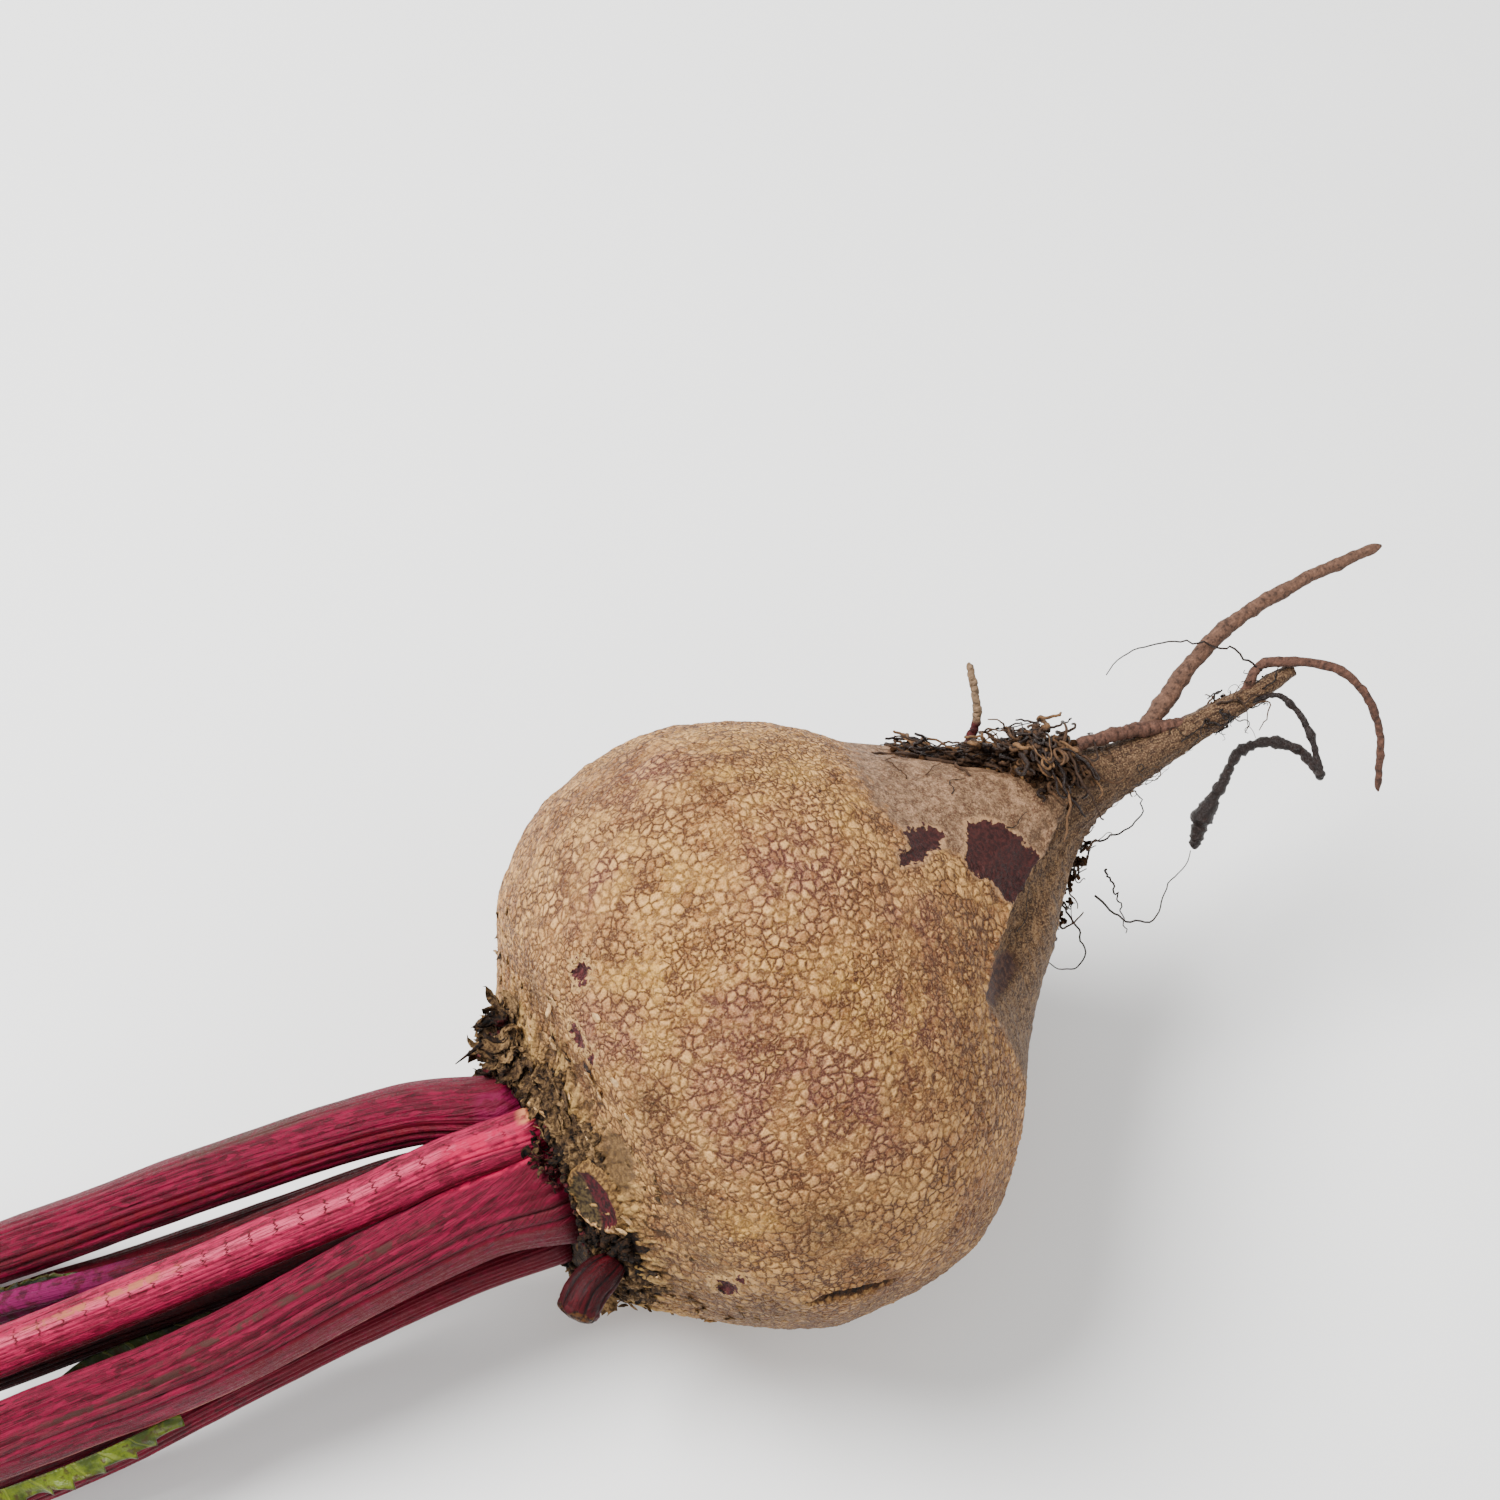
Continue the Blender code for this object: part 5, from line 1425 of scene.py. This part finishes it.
def make_stub():
    """The short stalk that broke off by the crown, with its brown rounded end."""
    foot = on_root(-1.8, STUB_ANGLE, 0.4)
    out = on_root(-1.8, STUB_ANGLE, 3.0) - on_root(-1.8, STUB_ANGLE, 2.0)
    end = foot + 2.4 * out - 8.0 * AXIS - 3.0 * ACROSS
    bend = foot + 3.2 * out - 2.6 * AXIS
    path = through([foot - 0.5 * AXIS, bend, end], STUB_RINGS)
    way = unit(np.gradient(path, axis=0))
    theta = circle(STUB_SIDES)
    rib = np.abs(np.cos(4 * theta + 0.9 * np.sin(2 * theta))) ** 0.5
    swells = [(0, 0.6), (0.12, 0.78), (0.3, 0.94), (0.5, 0.98), (0.72, 1.02), (0.88, 1.0), (0.95, 0.86),
              (1, 0.45)]
    rings = []
    rows = []
    for point, along, share in zip(path, way, np.linspace(0, 1, STUB_RINGS)):
        wide = unit(np.cross(along, RISE))
        face = np.cross(wide, along)
        knobs = rumple(5 * theta, 30 * share, 2.0) * float(ease(0.7, 0.9, share))
        out = 0.9 + 0.12 * rib + 0.04 * wobble(5 * theta + 6 * share, 2.0) + 0.07 * knobs
        out = float(smooth(swells, share)) * out
        spread = np.outer(3.3 * out * np.cos(theta), wide) + np.outer(3.0 * out * np.sin(theta), face)
        rings.append(point + spread)
        rows.append({"along": 20 + share * 9, "around": theta * 3, "along_seed": 70.0, "rib": rib,
                     "lateral": spread @ ACROSS / 3.5,
                     "cut": ease(0.8, 0.93, share + 0.08 * wobble(3 * theta, 1.0))})
    look = stalk_shade("stub_flesh", (48, 2, 20), (92, 16, 40), end=((52, 30, 22), (112, 80, 56)))
    piece("petiole_stub_ribbed", lofted(rings), look, ("petiole_stub",),
          joined(rows, STUB_SIDES))


# Leaf blades


def blade_shade(name, dark, light):
    """Green leaf with pale veins and a brown torn edge."""
    material, n, shader, where = shade(name, 0.45, 0.3)
    out = n.field("out")
    bend = n.centred(where, 0.12, 2.0, 5.0)
    vein = n.math("SINE", n.plus(n.total((n.field("along"), 0.9), (out, 3.0)), bend))
    vein = n.step(vein, 0.9, 0.99)
    fine = n.noise(where, 1.6, 4.0)
    edge = n.plus(out, n.centred(where, 0.8, reach=0.3))
    colour = n.blend(n.noise(where, 0.3, 4.0), 0.38, 0.6, dark, light)
    colour = n.layers(colour, (fine, 0.52, 0.66, 0.4, dark))
    colour = n.mix(n.times(vein, 0.25), colour, srgb(160, 160, 92))
    colour = n.layers(colour, (edge, 0.84, 1.05, 0.9, (86, 66, 30)),
                      (n.noise(where, 0.6, 4.0), 0.52, 0.62, 0.8, (84, 62, 34)))
    finish(n, shader, colour, n.total((vein, 0.4), (fine, 0.6)), 0.35)
    return material


# Dark and light greens of each blade. Blades 2 and 3 lie in the gaps between the stalks, and their darker
# greens are painted shade
BLADE_LOOKS = {
    "blade_1": ((78, 78, 24), (118, 120, 46)),
    "blade_2": ((44, 48, 20), (74, 84, 36)),
    "blade_3": ((40, 52, 22), (76, 90, 38)),
}


def make_blades():
    """Strips of leaf blade with waved, torn edges, along the stalks they grew on."""
    across = np.linspace(0, 1, BLADE_COLUMNS)
    shares = np.linspace(0, 1, BLADE_ROWS)
    for seed, (name, (route, out, width, wave)) in enumerate(BLADES.items()):
        edge = through(route, BLADE_ROWS)
        out = unit(np.array(out))
        way = unit(np.gradient(edge, axis=0))
        draw = np.random.default_rng(seed + 3)
        lobes = smooth([(x, draw.uniform(0.78, 1.12)) for x in range(12)], 11 * shares)
        grid = np.empty((BLADE_ROWS, BLADE_COLUMNS, 3))
        for i, share in enumerate(shares):
            up = np.cross(way[i], out)
            taper = min(1.0, 0.62 + share) * float(1 - 0.85 * ease(0.8, 1.0, share))
            if name != "blade_1":
                taper = 0.1 + 0.9 * math.sin(math.pi * share) ** 0.7
            tooth = (0.97 - 8.3 * share + 0.16 * math.sin(17 * share + seed)) % 1.0
            reach = width * taper * lobes[i] * (0.72 + 0.32 * tooth ** 2.2)
            ripple = wave * wobble(13 * share, 2.0 + seed) * 1.8
            pucker = 0.16 * np.sin(8 * across + 26 * share) * across + 0.1 * np.sin(41 * share) * across
            grid[i] = edge[i] + np.outer(across * reach, out) + np.outer(across ** 1.4 * ripple + pucker, up)
        body = plate(grid, BLADE_THICKNESS, unit(np.cross(way[BLADE_ROWS // 2], out)))
        fields = {
            "out": np.tile(np.tile(across, BLADE_ROWS), 2),
            "along": np.tile(np.repeat(45 * shares, BLADE_COLUMNS), 2),
        }
        look = blade_shade(name + "_green", *BLADE_LOOKS[name])
        piece(name + "_leaf", body, look, (name,), fields)


# Table, light and camera


def make_stage():
    """The pale table, just under the beetroot."""
    mesh = bpy.data.meshes.new("table")
    corners = [(x * TABLE_REACH, y * TABLE_REACH, 0) for x, y in ((-1, -1), (1, -1), (1, 1), (-1, 1))]
    mesh.from_pydata(corners, [], [(0, 1, 2, 3)])
    table = bpy.data.objects.new("table", mesh)
    table.location.z = -TABLE_DROP
    bpy.context.scene.collection.objects.link(table)
    material, n, shader, where = shade("pale_table", 0.8, 0.5)
    grain = n.noise(where, 0.02, 2.0)
    n.feed(shader.inputs["Base Color"], n.mix(grain, (0.86, 0.86, 0.85, 1), (0.9, 0.9, 0.89, 1)))
    mesh.materials.append(material)


TABLE_REACH = 3.0
TABLE_DROP = 0.0002
LENS = 60
SENSOR = 36
SURROUNDINGS = 0.8
EYE = Vector((-0.078841, -0.123246, 0.414877))
TARGET = Vector((0.018931, 0.033221, 0.067879))

# Direction, distance, size and power of each light
LIGHTS = {"key": ((-0.45, 0.45, 1.1), 0.9, 0.5, 22), "fill": ((0.6, -0.8, 0.9), 1.1, 0.8, 5)}


def add_area(name, direction, distance, size, power):
    """A round light that faces the target."""
    light = bpy.data.lights.new(name, "AREA")
    light.shape = "DISK"
    light.size = size
    light.energy = power
    thing = bpy.data.objects.new(name, light)
    thing.location = TARGET + Vector(direction).normalized() * distance
    thing.rotation_euler = (TARGET - thing.location).to_track_quat("-Z", "Y").to_euler()
    bpy.context.scene.collection.objects.link(thing)


def make_view():
    """The camera, the white surroundings and the two lights."""
    scene = bpy.context.scene
    camera = bpy.data.cameras.new("camera")
    camera.lens = LENS
    camera.sensor_width = SENSOR
    view = bpy.data.objects.new("camera", camera)
    view.location = EYE
    view.rotation_euler = (TARGET - EYE).to_track_quat("-Z", "Y").to_euler()
    scene.collection.objects.link(view)
    scene.camera = view
    world = bpy.data.worlds.new("studio")
    world.use_nodes = True
    background = world.node_tree.nodes["Background"]
    background.inputs["Color"].default_value = (1.0, 1.0, 1.0, 1)
    background.inputs["Strength"].default_value = SURROUNDINGS
    scene.world = world
    for name, light in LIGHTS.items():
        add_area(name, *light)


make_skin()
make_side_roots()
make_rootlets()
dry_leaves = scale_shade()
make_collar(dry_leaves)
make_flakes(dry_leaves)
make_debris(dry_leaves)
make_scar()
make_soil()
make_stalks()
make_stub()
make_blades()
make_stage()
make_view()
